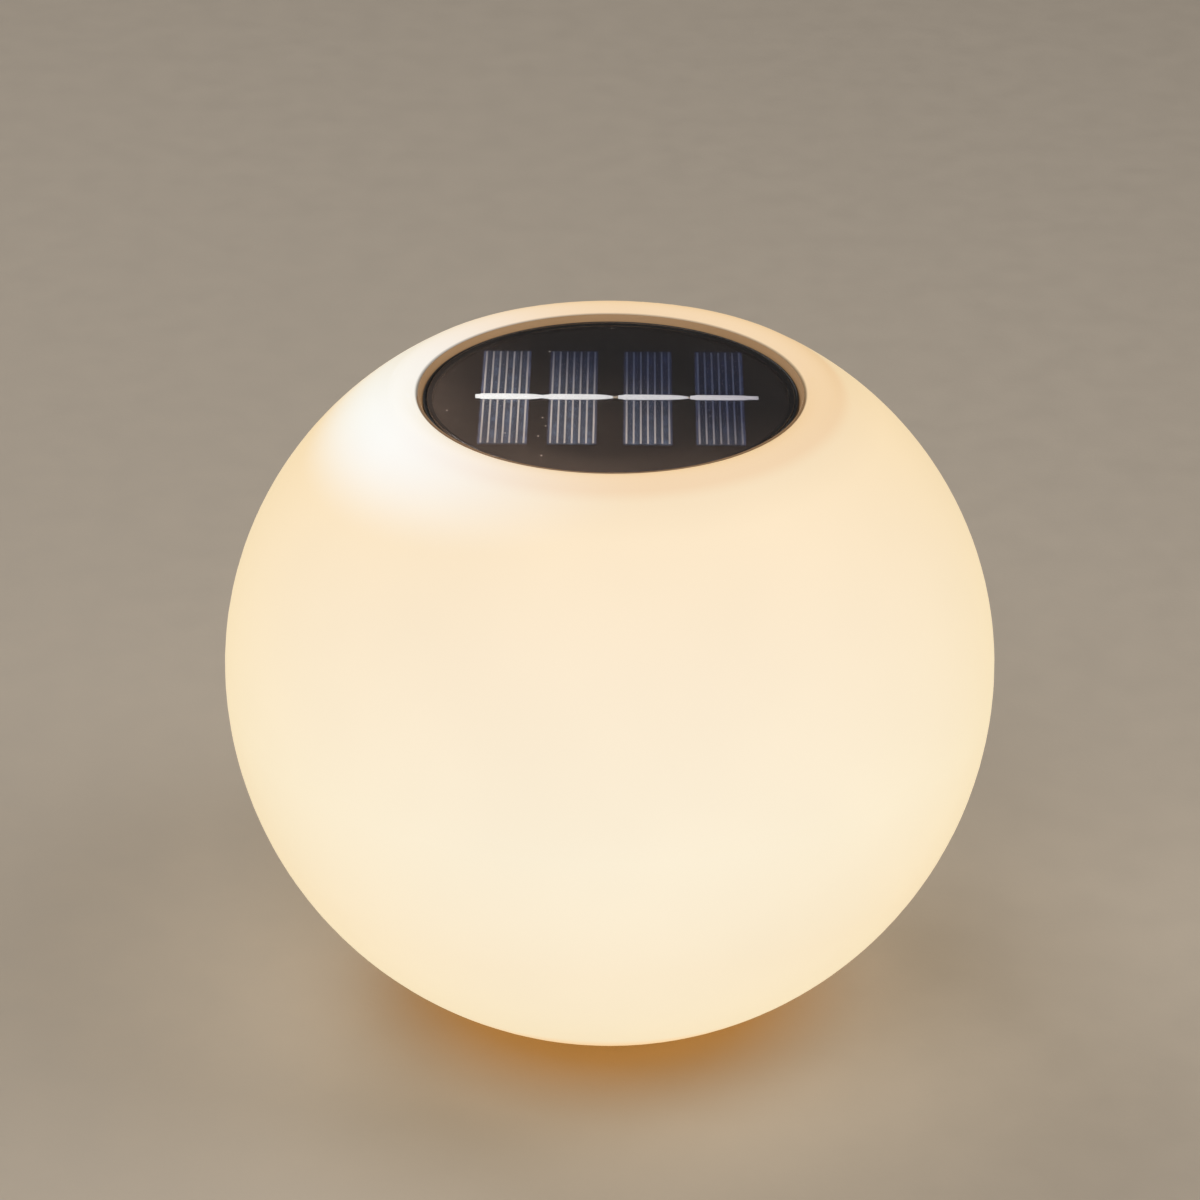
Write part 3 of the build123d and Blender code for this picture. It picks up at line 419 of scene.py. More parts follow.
@dataclass(frozen=True)
class DustyResin(Finish):
    """Clear cast resin, polished on top, under a thin brown film of garden dust with a few pale specks,
    thickened towards the front left as painted light.
    """

    dust: str
    speck: str
    reach: float                    # radius of the window, metres
    least: float                    # share that the film covers at its thinnest
    most: float
    towards: tuple[float, float]    # direction in which the film thickens, as painted light
    bare: float = 0.5               # share of the radius, against that direction, at which the film starts
    edge_start: float = 0.7         # share of the radius beyond which dust gathers along the edge
    edge_gain: float = 1.8          # film at the edge against that in the open
    patch: float = 16.0             # thicker and thinner places of the film, millimetres
    unevenness: float = 0.2         # share by which they change it
    speck_spacing: float = 8.0      # millimetres
    speck_radius: float = 0.028     # share of the spacing
    speckless: float = 0.66         # share of the places for a speck that hold none
    roughness: float = 0.03
    ior: float = 1.5
    dust_roughness: float = 0.8
    dust_shine: float = 0.1         # a fifth of a polished surface's

    def shade(self, tree: Tree, place: Socket) -> Socket:
        """Adds a film of dust and painted light, and specks, over clear resin that lets lamp light through,
        and returns the shader.
        """
        along = add_node(tree, "VectorMath", {
            0: place, 1: (*self.towards, 0.0),
        }, operation="DOT_PRODUCT").outputs["Value"]
        # dust, thickened towards the front left as painted light
        dust_and_painted_light = add_node(tree, "MapRange", {
            "Value": along, "From Min": -self.bare * self.reach, "From Max": self.reach,
            "To Min": self.least, "To Max": self.most,
        }, interpolation_type="SMOOTHSTEP")
        border = add_node(tree, "MapRange", {
            "Value": radius_from_axis(tree, place),
            "From Min": self.edge_start * self.reach, "From Max": self.reach,
            "To Min": 1.0, "To Max": self.edge_gain,
        })
        gathered = add_node(tree, "Math", {
            0: dust_and_painted_light.outputs["Result"], 1: border.outputs["Result"],
        }, operation="MULTIPLY")
        coat = add_node(tree, "Math", {
            0: gathered.outputs["Value"],
            1: patchy(tree, place, self.patch, around(1.0, self.unevenness), detail=5.0),
        }, operation="MULTIPLY")
        grains = add_node(tree, "TexVoronoi", {"Vector": place, "Scale": per_mm(self.speck_spacing)})
        near = add_node(tree, "Math", {
            0: grains.outputs["Distance"], 1: self.speck_radius,
        }, operation="LESS_THAN")
        pick = add_node(tree, "SeparateColor", {"Color": grains.outputs["Color"]})
        some = add_node(tree, "Math", {
            0: pick.outputs["Red"], 1: self.speckless,
        }, operation="GREATER_THAN")
        specks = add_node(tree, "Math", {
            0: near.outputs["Value"], 1: some.outputs["Value"],
        }, operation="MULTIPLY")
        cover = add_node(tree, "Math", {
            0: coat.outputs["Value"], 1: specks.outputs["Value"],
        }, operation="MAXIMUM", use_clamp=True)
        colour = add_node(tree, "Mix", {
            MIX_SHARE: specks.outputs["Value"], MIX_A: linear(self.dust), MIX_B: linear(self.speck),
        }, data_type="RGBA")
        resin = add_node(tree, "BsdfPrincipled", {
            "Base Color": WHITE, "Transmission Weight": 1.0, "Roughness": self.roughness, "IOR": self.ior,
        })
        dust = add_node(tree, "BsdfPrincipled", {
            "Base Color": colour.outputs[MIX_OUT], "Roughness": self.dust_roughness,
            "Specular IOR Level": self.dust_shine,
        })
        dusty = add_node(tree, "MixShader", {
            0: cover.outputs["Value"], 1: resin.outputs["BSDF"], 2: dust.outputs["BSDF"],
        })
        open_air = add_node(tree, "BsdfTransparent", {"Color": WHITE})
        shadow = add_node(tree, "LightPath").outputs["Is Shadow Ray"]
        return add_node(tree, "MixShader", {
            0: shadow, 1: dusty.outputs["Shader"], 2: open_air.outputs["BSDF"],
        }).outputs["Shader"]


@dataclass(frozen=True)
class PaintedLightFade:
    """Painted light and shade across the panel: lighter towards the front left, darker towards the back
    right.
    """

    towards: tuple[float, float]
    start: float                    # metres along that direction from the panel's middle
    end: float

    def mix(self, tree: Tree, place: Socket, near: str, far: str) -> Socket:
        """Adds the painted change between a lit and a shaded tone.

        Args:
            tree: The node tree that takes the nodes.
            place: The socket that gives a point's place.
            near: Lit tone before the start.
            far: Shaded tone after the end.

        Returns:
            The socket with the mixed colour.
        """
        along = add_node(tree, "VectorMath", {0: place, 1: (*self.towards, 0.0)}, operation="DOT_PRODUCT")
        share = add_node(tree, "MapRange", {
            "Value": along.outputs["Value"], "From Min": self.start, "From Max": self.end,
        }, interpolation_type="SMOOTHSTEP")
        return add_node(tree, "Mix", {
            MIX_SHARE: share.outputs["Result"], MIX_A: linear(near), MIX_B: linear(far),
        }, data_type="RGBA").outputs[MIX_OUT]


@dataclass(frozen=True)
class SiliconCell(Finish):
    """Etched polycrystalline silicon under a blue nitride coat: dark crystals with faint saw lines."""

    # near and far: the lit and shaded tones of the painted light and shade
    near: str
    far: str
    edge_near: str
    edge_far: str
    light_fade: PaintedLightFade
    middle: tuple[float, float]     # of the cell, metres
    half_width: float
    edge_width: float = 1.3 * MM    # of the paler edges
    edge_share: float = 0.8         # of the edges' own tone, at the very edge
    crystal: float = 2.4            # millimetres
    saw_pitch: float = 3.896        # millimetres
    saw_waver: float = 0.6
    darkest: float = 0.8            # tone of crystals and saw lines against the coat's
    palest: float = 1.7
    roughness: float = 0.5
    ior: float = 1.1                # silicon's etched coat against the resin that wets it

    def shade(self, tree: Tree, place: Socket) -> Socket:
        """Adds painted light and shade across the cell, its paler edges, crystals and saw lines, and returns
        the shader.
        """
        crystals = add_node(tree, "TexVoronoi", {"Vector": place, "Scale": per_mm(self.crystal)})
        pick = add_node(tree, "SeparateColor", {"Color": crystals.outputs["Color"]})
        saw = add_node(tree, "TexWave", {
            "Vector": place, "Scale": per_mm(self.saw_pitch) * math.tau / WAVE_TURN,
            "Distortion": self.saw_waver, "Detail": 1.0,
        }, bands_direction="X")
        mixed = add_node(tree, "Math", {
            0: pick.outputs["Red"], 1: saw.outputs["Fac"],
        }, operation="MULTIPLY")
        offset = add_node(tree, "VectorMath", {0: place, 1: (*self.middle, 0.0)}, operation="SUBTRACT")
        parts = add_node(tree, "SeparateXYZ", {"Vector": offset.outputs["Vector"]})
        tone = self.light_fade.mix(tree, place, self.near, self.far)
        aside = add_node(tree, "Math", {0: parts.outputs["X"]}, operation="ABSOLUTE")
        rim = add_node(tree, "MapRange", {
            "Value": aside.outputs["Value"], "From Min": self.half_width - self.edge_width,
            "From Max": self.half_width, "To Max": self.edge_share,
        }, interpolation_type="SMOOTHSTEP")
        edged = add_node(tree, "Mix", {
            MIX_SHARE: rim.outputs["Result"], MIX_A: tone,
            MIX_B: self.light_fade.mix(tree, place, self.edge_near, self.edge_far),
        }, data_type="RGBA")
        bright = add_node(tree, "MapRange", {
            "Value": mixed.outputs["Value"], "To Min": self.darkest, "To Max": self.palest,
        })
        colour = add_node(tree, "VectorMath", {
            0: edged.outputs[MIX_OUT], "Scale": bright.outputs["Result"],
        }, operation="SCALE")
        return add_node(tree, "BsdfPrincipled", {
            "Base Color": colour.outputs["Vector"], "Roughness": self.roughness, "IOR": self.ior,
        }).outputs["BSDF"]


@dataclass(frozen=True)
class SilverPaste(Finish):
    """Screen-printed and fired silver paste: a dull sparkling white, with painted shade that turns it dark
    blue at the far end.
    """

    near: str
    far: str
    light_fade: PaintedLightFade
    grain: float = 0.4              # millimetres
    darkest: float = 0.85           # tone of the grain against the paste's
    palest: float = 1.1
    metallic: float = 0.1
    roughness: float = 0.55
    ior: float = 1.15               # of the paste's glass against the resin that wets it

    def shade(self, tree: Tree, place: Socket) -> Socket:
        """Adds painted light and shade, and the paste's grain, and returns the shader."""
        tone = self.light_fade.mix(tree, place, self.near, self.far)
        colour = add_node(tree, "VectorMath", {
            0: tone, "Scale": patchy(tree, place, self.grain, (self.darkest, self.palest)),
        }, operation="SCALE")
        return add_node(tree, "BsdfPrincipled", {
            "Base Color": colour.outputs["Vector"], "Metallic": self.metallic,
            "Roughness": self.roughness, "IOR": self.ior,
        }).outputs["BSDF"]


@dataclass(frozen=True)
class SolderedTin(Finish):
    """Copper ribbon dipped in solder: pale, frosty and lumpy where the iron passed."""

    colour: str
    shaded_tone: str
    flux: str
    reach: float                    # half the row of cells, metres
    lump: float = 1.1               # millimetres
    lump_depth: float = 0.05        # millimetres
    stain_start: float = 0.55       # height of the lumps, from none to one, between which flux shows
    stain_full: float = 0.8
    stain_most: float = 0.22        # share of flux at the most
    metallic: float = 0.05
    roughness: float = 0.5

    def shade(self, tree: Tree, place: Socket) -> Socket:
        """Adds frosted lumps, painted shade that greys it towards the lead, and a trace of flux, and returns
        the shader.
        """
        along = add_node(tree, "SeparateXYZ", {"Vector": place}).outputs["X"]
        share = add_node(tree, "MapRange", {"Value": along, "From Min": -self.reach, "From Max": self.reach})
        # painted shade: the ribbon greys from left to right along the row
        tone = add_node(tree, "Mix", {
            MIX_SHARE: share.outputs["Result"], MIX_A: linear(self.colour), MIX_B: linear(self.shaded_tone),
        }, data_type="RGBA")
        lumps = add_node(tree, "TexNoise", {"Vector": place, "Scale": per_mm(self.lump), "Detail": 3.0})
        stain = add_node(tree, "MapRange", {
            "Value": lumps.outputs["Fac"], "From Min": self.stain_start, "From Max": self.stain_full,
            "To Min": 0.0, "To Max": self.stain_most,
        })
        colour = add_node(tree, "Mix", {
            MIX_SHARE: stain.outputs["Result"], MIX_A: tone.outputs[MIX_OUT], MIX_B: linear(self.flux),
        }, data_type="RGBA")
        bump = add_node(tree, "Bump", {
            "Height": lumps.outputs["Fac"], "Distance": self.lump_depth * MM, "Strength": 1.0,
        })
        return add_node(tree, "BsdfPrincipled", {
            "Base Color": colour.outputs[MIX_OUT], "Metallic": self.metallic, "Roughness": self.roughness,
            "Normal": bump.outputs["Normal"],
        }).outputs["BSDF"]


@dataclass(frozen=True)
class TwoTone(Finish):
    """Moulded or sleeved piece whose colour changes at one plane across it."""

    below: str
    above: str
    axis: str                       # "X", "Y" or "Z"
    divide: float                   # metres
    roughness: float = 0.42
    gloss_drift: float = 0.15       # share by which the roughness drifts
    metal_above: float = 0.0
    grain: float = 1.2              # millimetres

    def shade(self, tree: Tree, place: Socket) -> Socket:
        """Adds the two colours and a faint grain, and returns the shader."""
        along = add_node(tree, "SeparateXYZ", {"Vector": place}).outputs[self.axis]
        side = add_node(tree, "Math", {0: along, 1: self.divide}, operation="GREATER_THAN")
        colour = add_node(tree, "Mix", {
            MIX_SHARE: side.outputs["Value"], MIX_A: linear(self.below), MIX_B: linear(self.above),
        }, data_type="RGBA")
        metal = add_node(tree, "Math", {
            0: side.outputs["Value"], 1: self.metal_above,
        }, operation="MULTIPLY")
        return add_node(tree, "BsdfPrincipled", {
            "Base Color": colour.outputs[MIX_OUT], "Metallic": metal.outputs["Value"],
            "Roughness": patchy(tree, place, self.grain, around(self.roughness, self.gloss_drift)),
        }).outputs["BSDF"]


@dataclass(frozen=True)
class CircuitBoard(Finish):
    """Glass-epoxy board under solder mask: even colour, with tracks that show as another tone."""

    colour: str
    track: str
    track_pitch: float              # millimetres
    track_share: float = 0.24       # of the pitch that a track takes
    track_blur: float = 0.1         # of a track's edges, as a share of its width
    roughness: float = 0.4
    gloss_drift: float = 0.15       # share by which the roughness drifts
    weave: float = 0.8              # glass cloth under the mask, millimetres

    def shade(self, tree: Tree, place: Socket) -> Socket:
        """Adds the tracks and the mask's faint unevenness, and returns the shader."""
        tracks = add_node(tree, "TexBrick", {
            "Vector": place, "Scale": per_mm(self.track_pitch) * BRICK_ROW,
            "Mortar Size": self.track_share * BRICK_ROW, "Mortar Smooth": self.track_blur,
            "Color1": linear(self.colour), "Color2": linear(self.colour), "Mortar": linear(self.track),
        })
        return add_node(tree, "BsdfPrincipled", {
            "Base Color": tracks.outputs["Color"],
            "Roughness": patchy(tree, place, self.weave, around(self.roughness, self.gloss_drift)),
        }).outputs["BSDF"]


def dress(finish: Finish, *names: str) -> None:
    """Gives nodes of the frame a finish.

    Args:
        finish: The finish to make.
        names: The nodes that take it.
    """
    material = finish.build()
    for name in names:
        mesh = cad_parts[name].data
        mesh.materials.clear()
        mesh.materials.append(material)
        LOG.info("%s dressed in %s", name, finish.name)


def numbered(name: str, count: int) -> list[str]:
    """Names of numbered nodes."""
    return [f"{name}_{number}" for number in range(1, count + 1)]


@dataclass(frozen=True)
class Station:
    """Cross-section of a domed bar."""

    along: float                    # metres along the bar
    half_width: float
    height: float


@dataclass(frozen=True)
class DomedBar:
    """Flat-bottomed bar with a domed top, printed or soldered onto a level face."""

    run: Run
    across: float                   # where the bar's middle line lies across its run
    level: float                    # face that the bar lies on
    stations: tuple[Station, ...]
    fullness: float = 1.0           # of the dome: 1 is an ellipse, less is flatter on top
    steps: int = 8                  # facets over the dome

    def point(self, along: float, across: float, up: float) -> Vector:
        """Place of a point on the bar, in the frame."""
        if self.run is Run.ALONG_X:
            return Vector((along, self.across + across, self.level + up))
        return Vector((self.across + across, along, self.level + up))

    def add_to(self, mesh: bmesh.types.BMesh) -> None:
        """Adds the bar to a mesh.

        Args:
            mesh: The mesh that takes the bar's faces.
        """
        angles = [math.pi * step / self.steps for step in range(self.steps + 1)]
        rings = [
            [
                mesh.verts.new(self.point(
                    station.along, station.half_width * math.cos(angle),
                    station.height * math.sin(angle) ** self.fullness,
                ))
                for angle in angles
            ]
            for station in self.stations
        ]
        for ring, following in zip(rings, rings[1:]):
            for i in range(len(ring)):
                j = (i + 1) % len(ring)
                mesh.faces.new((ring[i], ring[j], following[j], following[i]))
        mesh.faces.new(list(reversed(rings[0])))
        mesh.faces.new(rings[-1])


def add_piece(
    name: str, bars: Iterable[DomedBar], material: bpy.types.Material, body: Body, slot: str, *replaced: str
) -> bpy.types.Object:
    """Makes one piece out of domed bars and fixes it to a body.

    Args:
        name: The piece's name.
        bars: The bars that it is made of.
        material: Its material.
        body: The body that it rides on.
        slot: Not used.
        replaced: Nodes of the frame that it stands for.

    Returns:
        The new object.
    """
    shape = bmesh.new()
    for bar in bars:
        bar.add_to(shape)
    bmesh.ops.recalc_face_normals(shape, faces=shape.faces)
    mesh = bpy.data.meshes.new(name)
    shape.to_mesh(mesh)
    shape.free()
    mesh.materials.append(material)
    for face in mesh.polygons:
        face.use_smooth = len(face.vertices) == 4       # the sides, and not the ends
    piece = bpy.data.objects.new(name, mesh)
    bpy.context.scene.collection.objects.link(piece)
    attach(piece, body.value)
    if replaced:
        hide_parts(*replaced)
    LOG.info("%s built on %s", name, body.value)
    return piece


@dataclass
class LitGlobe:
    """Translucent globe and the collar bonded into its mouth."""

    mouth_radius: float = 49.3 * MM
    collar_radius: float = 49.0 * MM        # outside of the collar's lip
    shaded_edge: float = 0.3 * MM           # of that lip, under the painted shade
    glow_strength: float = 1.25
    glow: tuple[tuple[float, str], ...] = (
        (0.0, "#E6B16A"), (0.1, "#DFDAD2"), (0.3, "#DFD7CC"), (0.52, "#DFD9CF"),
        (0.8, "#DDD2C4"), (0.94, "#DCCEBC"), (0.978, "#D7C8B5"), (0.988, "#D3BDA6"), (1.0, "#D3BDA5"),
    )
    # Painted highlight left of the mouth, drawn into the wall's glow
    patch: PaintedHighlight = PaintedHighlight(
        "#DCE6FB", (-92 * MM, -12 * MM, 174 * MM), (110 * MM, 134 * MM, 19.6 * MM), 0.17,
    )

    def dress(self) -> None:
        """Dresses the globe and its collar."""
        low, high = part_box("globe_shell")
        # Blow-moulded polyethylene: matt, with the light even in its wall, and a painted highlight that makes
        # it whitest left of the mouth
        dress(LitPolyethylene(
            "polyethylene_blow_moulded", "#625E5A", 0.5, low.z, high.z,
            self.mouth_radius, self.glow_strength, self.glow, self.patch,
        ), "globe_shell")
        # Tan ABS, moulded: satin, with a painted glow for the light from the globe's wall that shines through
        # it, and a painted shade line in the joint
        dress(ShadedJointMoulding(
            "abs_tan_moulded", "#917453", 0.55, glow="#D6A676", glow_strength=0.26,
            joint_shade="#3A2C20", unshaded_radius=self.collar_radius - self.shaded_edge,
        ), "neck_collar")


@dataclass
class FootedBase:
    """Base plate with its spike socket, feet, seal and screws."""

    feet: int = 4

    def dress(self) -> None:
        """Dresses the pieces of the base."""
        # White ABS, moulded with a fine spark-eroded grain: satin
        dress(Moulding("abs_white_moulded", "#DAD6CE", 0.46, grain=0.5, grain_depth=0.03),
              "base_plate", "base_clamp_ring")
        # Black nitrile rubber, moulded: matt, a little bloomed
        dress(Moulding("rubber_black_moulded", "#2A2A2A", 0.78, grain=0.4, grain_depth=0.03, unevenness=0.15),
              "base_seal", *numbered("foot_pad", self.feet))
        # Steel screws, zinc plated: grey with a bluish shine
        dress(PlatedSteel("steel_zinc_plated", "#B4B7BA", 0.3),
              "base_screws", "cover_screws", "led_board_screws", "driver_board_screws", "door_hinge_pin")


@dataclass
class SolarPanel:
    """Round panel under the window: strip cells, printed fingers and soldered ribbons."""

    cells: int = 4
    fingers: int = 7
    finger_pitch: float = 1.785 * MM
    finger_width: float = 0.46 * MM
    finger_height: float = 0.03 * MM
    finger_inset: float = 0.35 * MM         # from the cell's ends
    ribbon_half_widths: tuple[float, ...] = (1.75 * MM, 1.65 * MM, 1.55 * MM, 1.5 * MM)
    ribbon_set_forward: float = 0.25 * MM   # from the cells' middle
    ribbon_height: float = 0.2 * MM
    ribbon_fullness: float = 0.5            # of its dome, flattened by the iron
    ribbon_lead_in: float = 1.4 * MM        # ribbon starts this far before its cell
    # Sections from that start, then from the cell's left edge, then from its right edge
    ribbon_tip: tuple[Section, ...] = ((0.0, 0.6, 0.6), (0.15 * MM, 0.7, 0.8))
    ribbon_rise: tuple[Section, ...] = ((-0.3 * MM, 0.76, 0.9), (0.2 * MM, 1.0, 1.0))
    ribbon_fall: tuple[Section, ...] = ((0.0, 0.93, 0.95),)
    solder_reach: float = 4.3 * MM          # solder runs out this far beyond its cell
    # Sections at shares of that reach
    solder_end: tuple[Section, ...] = ((0.45, 0.78, 0.8), (0.8, 0.52, 0.5), (1.0, 0.36, 0.3))
    neck_half_widths: tuple[float, ...] = (0.35 * MM, 0.7 * MM, 0.4 * MM)   # ribbon between the cells
    neck_height: float = 0.08 * MM
    neck_start: float = 0.7                 # share of the solder's reach at which the neck starts
    neck_end: float = 0.5                   # share of the next lead-in at which it ends
    tail_half_width: float = 1.05 * MM      # last ribbon's squared end
    tail_reach: float = 3.7 * MM            # last ribbon beyond its cell
    tail_heights: tuple[tuple[float, float], ...] = ((0.35, 0.8), (1.0, 0.7))   # shares of reach and height
    light_fade: PaintedLightFade = PaintedLightFade((0.68, 0.73), -23.5 * MM, 18.5 * MM)      # painted light and shade of cells and fingers

    def dress(self) -> None:
        """Dresses the panel's nodes."""
        low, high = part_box("panel_window")
        # Clear cast resin, polished: mirror-like, with a brown film of dust and painted light towards the
        # front left
        dress(DustyResin(
            "resin_clear_cast", dust="#A58A78", speck="#D9CFC4", reach=(high.x - low.x) / 2,
            least=0.007, most=0.066, towards=(-0.62, -0.785),
        ), "panel_window")
        # Black glass-epoxy board, wetted by the resin: even, with hardly any shine of its own
        dress(Moulding("glass_epoxy_black", "#0C0B0B", 0.6, grain=0.8, unevenness=0.12, ior=1.1),
              "panel_board")
        # Polycrystalline silicon with a nitride coat: dark slate at the front left to navy at the back right,
        # as painted light and shade
        for name in numbered("solar_cell", self.cells):
            low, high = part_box(name)
            middle = (low + high) / 2
            dress(SiliconCell(
                f"silicon_nitride_coated_{name}", near="#3C4555", far="#0F1426",
                edge_near="#4B5065", edge_far="#22283F",
                light_fade=self.light_fade, middle=(middle.x, middle.y), half_width=(high.x - low.x) / 2,
            ), name)

    def build(self) -> None:
        """Builds the printed fingers and the soldered ribbons."""
        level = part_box("solar_cell_1")[1].z
        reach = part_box(f"solar_cell_{self.cells}")[1].x
        # Silver paste, screen printed and fired: dull white lines, with painted shade towards the back right
        paste = SilverPaste("silver_paste_printed", near="#BEB5AE", far="#383F56", light_fade=self.light_fade).build()
        # Tinned copper ribbon, soldered: frosty white and lumpy, with painted shade that greys it towards the
        # lead
        solder = SolderedTin(
            "copper_ribbon_soldered", colour="#FFFFFD", shaded_tone="#B3AFB6", flux="#A79A88", reach=reach,
        ).build()
        # The same ribbon between the cells: dull brown
        bare = SolderedTin(
            "copper_ribbon_between_cells", colour="#93836F", shaded_tone="#93836F", flux="#6E5A48", reach=reach,
        ).build()
        for number in range(1, self.cells + 1):
            low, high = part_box(f"solar_cell_{number}")
            middle = (low + high) / 2
            add_piece(
                f"cell_fingers_{number}", self.finger_bars(low, high, level), paste,
                Body.SOLAR_MODULE, "tinned_ribbon",
            )
            is_last = number == self.cells
            line = middle.y - self.ribbon_set_forward
            wide = self.ribbon_half_widths[number - 1]
            ribbon = DomedBar(
                Run.ALONG_X, line, level, self.ribbon_stations(low.x, high.x, wide, is_last),
                fullness=self.ribbon_fullness,
            )
            add_piece(
                f"soldered_ribbon_{number}", [ribbon], solder,
                Body.SOLAR_MODULE, "tinned_ribbon", f"tab_ribbon_{number}",
            )
            if not is_last:
                next_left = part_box(f"solar_cell_{number + 1}")[0].x
                half_width = self.neck_half_widths[number - 1]
                ends = (
                    high.x + self.solder_reach * self.neck_start,
                    next_left - self.ribbon_lead_in * self.neck_end,
                )
                neck = tuple(Station(x, half_width, self.neck_height) for x in ends)
                add_piece(
                    f"ribbon_neck_{number}", [DomedBar(Run.ALONG_X, line, level, neck)], bare,
                    Body.SOLAR_MODULE, "tinned_ribbon",
                )

    def finger_bars(self, low: Vector, high: Vector, level: float) -> list[DomedBar]:
        """Bars of one cell's printed fingers.

        Args:
            low: The cell's lowest corner.
            high: The cell's highest corner.
            level: The cell's upper face.

        Returns:
            One bar for each finger.
        """
        middle = (low.x + high.x) / 2
        ends = tuple(
            Station(y, self.finger_width / 2, self.finger_height)
            for y in (low.y + self.finger_inset, high.y - self.finger_inset)
        )
        return [
            DomedBar(Run.ALONG_Y, middle + (i - (self.fingers - 1) / 2) * self.finger_pitch, level, ends)
            for i in range(self.fingers)
        ]

    def ribbon_stations(self, left: float, right: float, wide: float, is_last: bool) -> tuple[Station, ...]:
        """Sections of one ribbon, from its rounded start to its neck or squared end.

        Args:
            left: The cell's left edge.
            right: The cell's right edge.
            wide: Half the ribbon's width over the cell.
            is_last: True for the ribbon that ends in the panel's lead.

        Returns:
            The sections, in order along X.
        """
        start = left - self.ribbon_lead_in
        sections = [(start + x, w, h) for x, w, h in self.ribbon_tip]
        sections += [(left + x, w, h) for x, w, h in self.ribbon_rise]
        sections.append(((left + right) / 2, 1.0, 1.0))
        sections += [(right + x, w, h) for x, w, h in self.ribbon_fall]
        if is_last:
            squared = self.tail_half_width / wide
            sections += [(right + share * self.tail_reach, squared, h) for share, h in self.tail_heights]
        else:
            sections += [(right + share * self.solder_reach, w, h) for share, w, h in self.solder_end]
        return tuple(Station(x, wide * w, self.ribbon_height * h) for x, w, h in sections)


@dataclass
class LampModule:
    """Housing, cover, boards, LEDs, switch, battery and leads of the solar module."""

    leds: int = 4
    led_frame_lip: float = 0.1 * MM         # of the white frame, clear of the phosphor
    battery_cap: float = 2.0 * MM           # bare metal beyond the sleeve at the button's end

    def dress(self) -> None:
        """Dresses the module's nodes."""
        # Black ABS, polished and dulled by weather: deep black, satin
        dress(Moulding("abs_black_polished", "#0A0A0A", 0.42, grain=1.5, grain_depth=0.006), "module_housing")
        # Silicone gasket: matt grey-black
        dress(Moulding("silicone_grey_moulded", "#3A3A3B", 0.7, grain=0.5), "module_gasket")
        # White ABS, moulded: satin, so that it throws the light back into the globe
        dress(Moulding("abs_reflector_moulded", "#E4E1DA", 0.42), "module_cover", "battery_door")
        # Glass-epoxy boards under white and green solder mask: satin, with tracks of another tone
        dress(CircuitBoard("board_white_mask", "#E6E4DE", "#CFCBC2", 3.0), "led_board")
        dress(CircuitBoard("board_green_mask", "#0E5A33", "#2C7F55", 2.2), "driver_board")
        led_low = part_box("led_1")[0]
        # LED package: white frame around yellow phosphor resin
        dress(TwoTone("led_phosphor_resin", "#F2F0EA", "#F2C24A", "Z", led_low.z + self.led_frame_lip),
              *numbered("led", self.leds))
        # Moulding epoxy: matt black
        dress(Moulding("epoxy_black_moulded", "#141414", 0.55, grain=0.25), "driver_chip")
        # Lacquered ferrite: dull green gloss
        dress(Moulding("ferrite_green_lacquered", "#33593F", 0.28, grain=0.8), "choke")
        # Steel switch can and contacts, nickel plated: bright warm grey
        dress(PlatedSteel("steel_nickel_plated", "#C6C1B6", 0.24),
              "switch_body", "battery_contact_positive", "battery_contact_negative")
        # Nylon slider: matt black
        dress(Moulding("nylon_black_moulded", "#161616", 0.5, grain=0.4), "switch_slider")
        battery_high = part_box("battery")[1]
        # Shrunk sleeve of the battery: glossy plain green, with bare steel at the button
        dress(TwoTone("sleeve_green_shrunk", "#2F6B46", "#C9C6BF", "X", battery_high.x - self.battery_cap,
                      roughness=0.3, metal_above=1.0), "battery")
        # Soft vinyl insulation: satin, one black lead and one red lead in each pair
        dress(TwoTone("vinyl_lead_insulation", "#171717", "#A3201C", "X", 0.0),
              "panel_leads", "led_leads", "battery_leads")


@dataclass(frozen=True)
class Lamp:
    """Soft lamp that faces the globe."""

    name: str
    place: tuple[float, float, float]
    width: float = 0.9
    height: float = 0.9
    power: float = 9.2              # watts
    colour: str = "#FFFFFF"


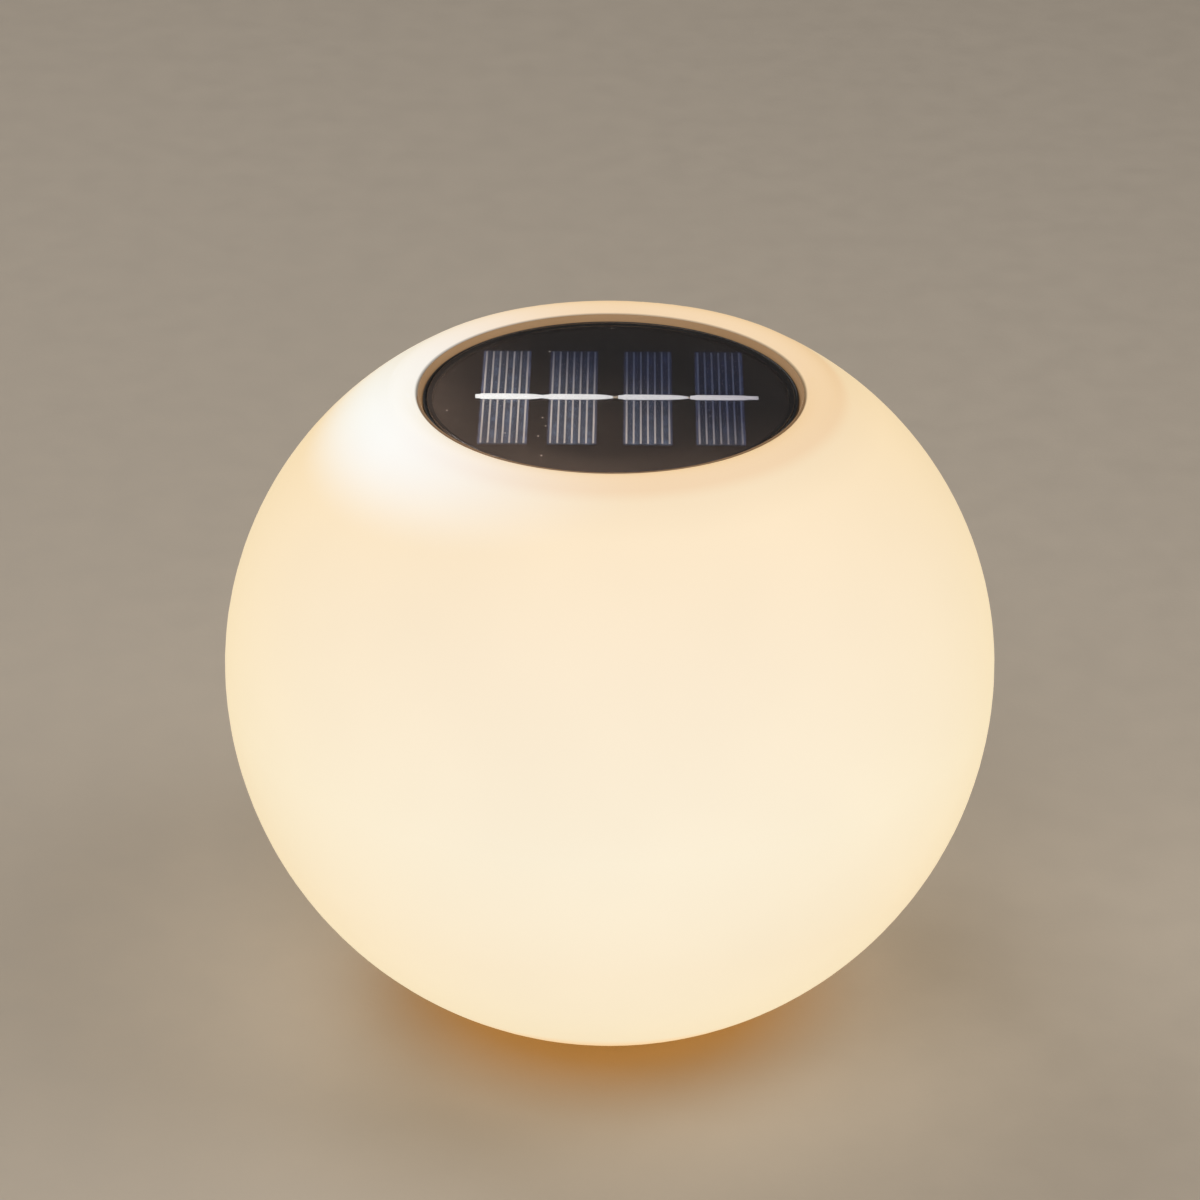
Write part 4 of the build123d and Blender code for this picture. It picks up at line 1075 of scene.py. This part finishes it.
@dataclass
class Studio:
    """Floor, soft lamps, surroundings and camera."""

    aim: tuple[float, float, float] = (0.0, 0.0, 0.097)     # middle of the globe
    elevation: float = 27.62                # degrees
    azimuth: float = 0.25                   # degrees
    roll: float = 0.3                       # degrees by which the picture leans to the right
    distance: float = 1.1805
    focal_pixels: float = 4525.0
    pan_pixels: float = 9.95                # globe's middle right of the picture's middle
    tilt_pixels: float = 60.69              # globe's middle below the picture's middle
    floor_radius: float = 6.0
    floor_segments: int = 96
    floor_drop: float = 0.05 * MM           # below the feet, so that no two faces lie in one plane
    floor_colour: str = "#B8AB9A"
    sky: tuple[tuple[float, str], ...] = (
        (0.0, "#6F6355"), (0.5, "#6C6258"), (0.6, "#343435"), (0.78, "#343435"), (1.0, "#8C8C8C"),
    )
    lamps: tuple[Lamp, ...] = (
        Lamp("back_left_softbox", (-0.692, 0.825, 1.48)),
        Lamp("right_softbox", (1.06, -0.187, 1.48)),
        Lamp("front_left_softbox", (-0.368, -1.012, 1.48)),
    )

    def build(self) -> None:
        """Builds the studio around the part."""
        self.add_floor()
        self.add_surroundings()
        for lamp in self.lamps:
            self.add_lamp(lamp)
        self.add_camera()

    def add_floor(self) -> None:
        """Adds a plain pale floor."""
        shape = bmesh.new()
        bmesh.ops.create_circle(shape, cap_ends=True, segments=self.floor_segments, radius=self.floor_radius)
        mesh = bpy.data.meshes.new("studio_floor")
        shape.to_mesh(mesh)
        shape.free()
        # Smooth screed floor: matt, with a hardly visible mottle
        mesh.materials.append(Moulding(
            "screed_pale", self.floor_colour, 0.8, grain=1.5, grain_depth=0.05, unevenness=0.02,
        ).build())
        floor = bpy.data.objects.new("studio_floor", mesh)
        floor.location.z = -self.floor_drop
        bpy.context.scene.collection.objects.link(floor)

    def add_surroundings(self) -> None:
        """Adds even, dim surroundings that shade from the floor's horizon up."""
        world = bpy.data.worlds.new("studio_surroundings")
        bpy.context.scene.world = world
        world.use_nodes = True
        tree = world.node_tree
        tree.nodes.clear()
        way = add_node(tree, "TexCoord").outputs["Generated"]
        height = add_node(tree, "SeparateXYZ", {"Vector": way}).outputs["Z"]
        share = add_node(tree, "MapRange", {"Value": height, "From Min": -1.0, "From Max": 1.0})
        sky = add_node(
            tree, "ValToRGB", {"Fac": share.outputs["Result"]},
            stops=[(at, linear(colour)) for at, colour in self.sky],
        )
        light = add_node(tree, "Background", {"Color": sky.outputs["Color"], "Strength": 1.0})
        add_node(tree, "OutputWorld", {"Surface": light.outputs["Background"]})

    def add_lamp(self, lamp: Lamp) -> None:
        """Adds one soft lamp.

        Args:
            lamp: Its place, size and power.
        """
        light = bpy.data.lights.new(lamp.name, "AREA")
        light.shape = "RECTANGLE"
        light.size = lamp.width
        light.size_y = lamp.height
        light.energy = lamp.power
        light.color = linear(lamp.colour)[:3]
        holder = bpy.data.objects.new(lamp.name, light)
        holder.location = lamp.place
        holder.rotation_euler = (Vector(self.aim) - Vector(lamp.place)).to_track_quat("-Z", "Y").to_euler()
        bpy.context.scene.collection.objects.link(holder)

    def add_camera(self) -> None:
        """Adds the camera, turned so that the globe's middle falls at its place in the picture."""
        across, up = math.radians(self.azimuth), math.radians(self.elevation)
        back = Vector((
            math.sin(across) * math.cos(up), -math.cos(across) * math.cos(up), math.sin(up),
        ))
        forward = -back
        right = forward.cross(Vector((0, 0, 1))).normalized()
        upward = right.cross(forward)
        pan = math.atan(self.pan_pixels / self.focal_pixels)
        tilt = math.atan(self.tilt_pixels / self.focal_pixels)
        panned = forward * math.cos(pan) - right * math.sin(pan)
        right = right * math.cos(pan) + forward * math.sin(pan)
        forward = panned * math.cos(tilt) + upward * math.sin(tilt)
        upward = upward * math.cos(tilt) - panned * math.sin(tilt)
        lean = math.radians(self.roll)
        right, upward = (
            right * math.cos(lean) + upward * math.sin(lean),
            upward * math.cos(lean) - right * math.sin(lean),
        )
        lens = bpy.data.cameras.new("camera")
        lens.sensor_width = SENSOR_WIDTH
        lens.lens = self.focal_pixels * SENSOR_WIDTH / IMAGE_SIDE
        camera = bpy.data.objects.new("camera", lens)
        axes = Matrix((right, upward, -forward)).transposed().to_4x4()
        camera.matrix_world = Matrix.Translation(Vector(self.aim) + back * self.distance) @ axes
        bpy.context.scene.collection.objects.link(camera)
        bpy.context.scene.camera = camera


def main() -> None:
    """Dresses the part, builds its panel detail and sets up the studio."""
    logging.basicConfig(level=logging.INFO, format="%(message)s")
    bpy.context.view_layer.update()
    LitGlobe().dress()
    FootedBase().dress()
    panel = SolarPanel()
    panel.dress()
    panel.build()
    LampModule().dress()
    Studio().build()
    bpy.context.scene.view_settings.view_transform = "Standard"


if __name__ == "__main__":
    main()
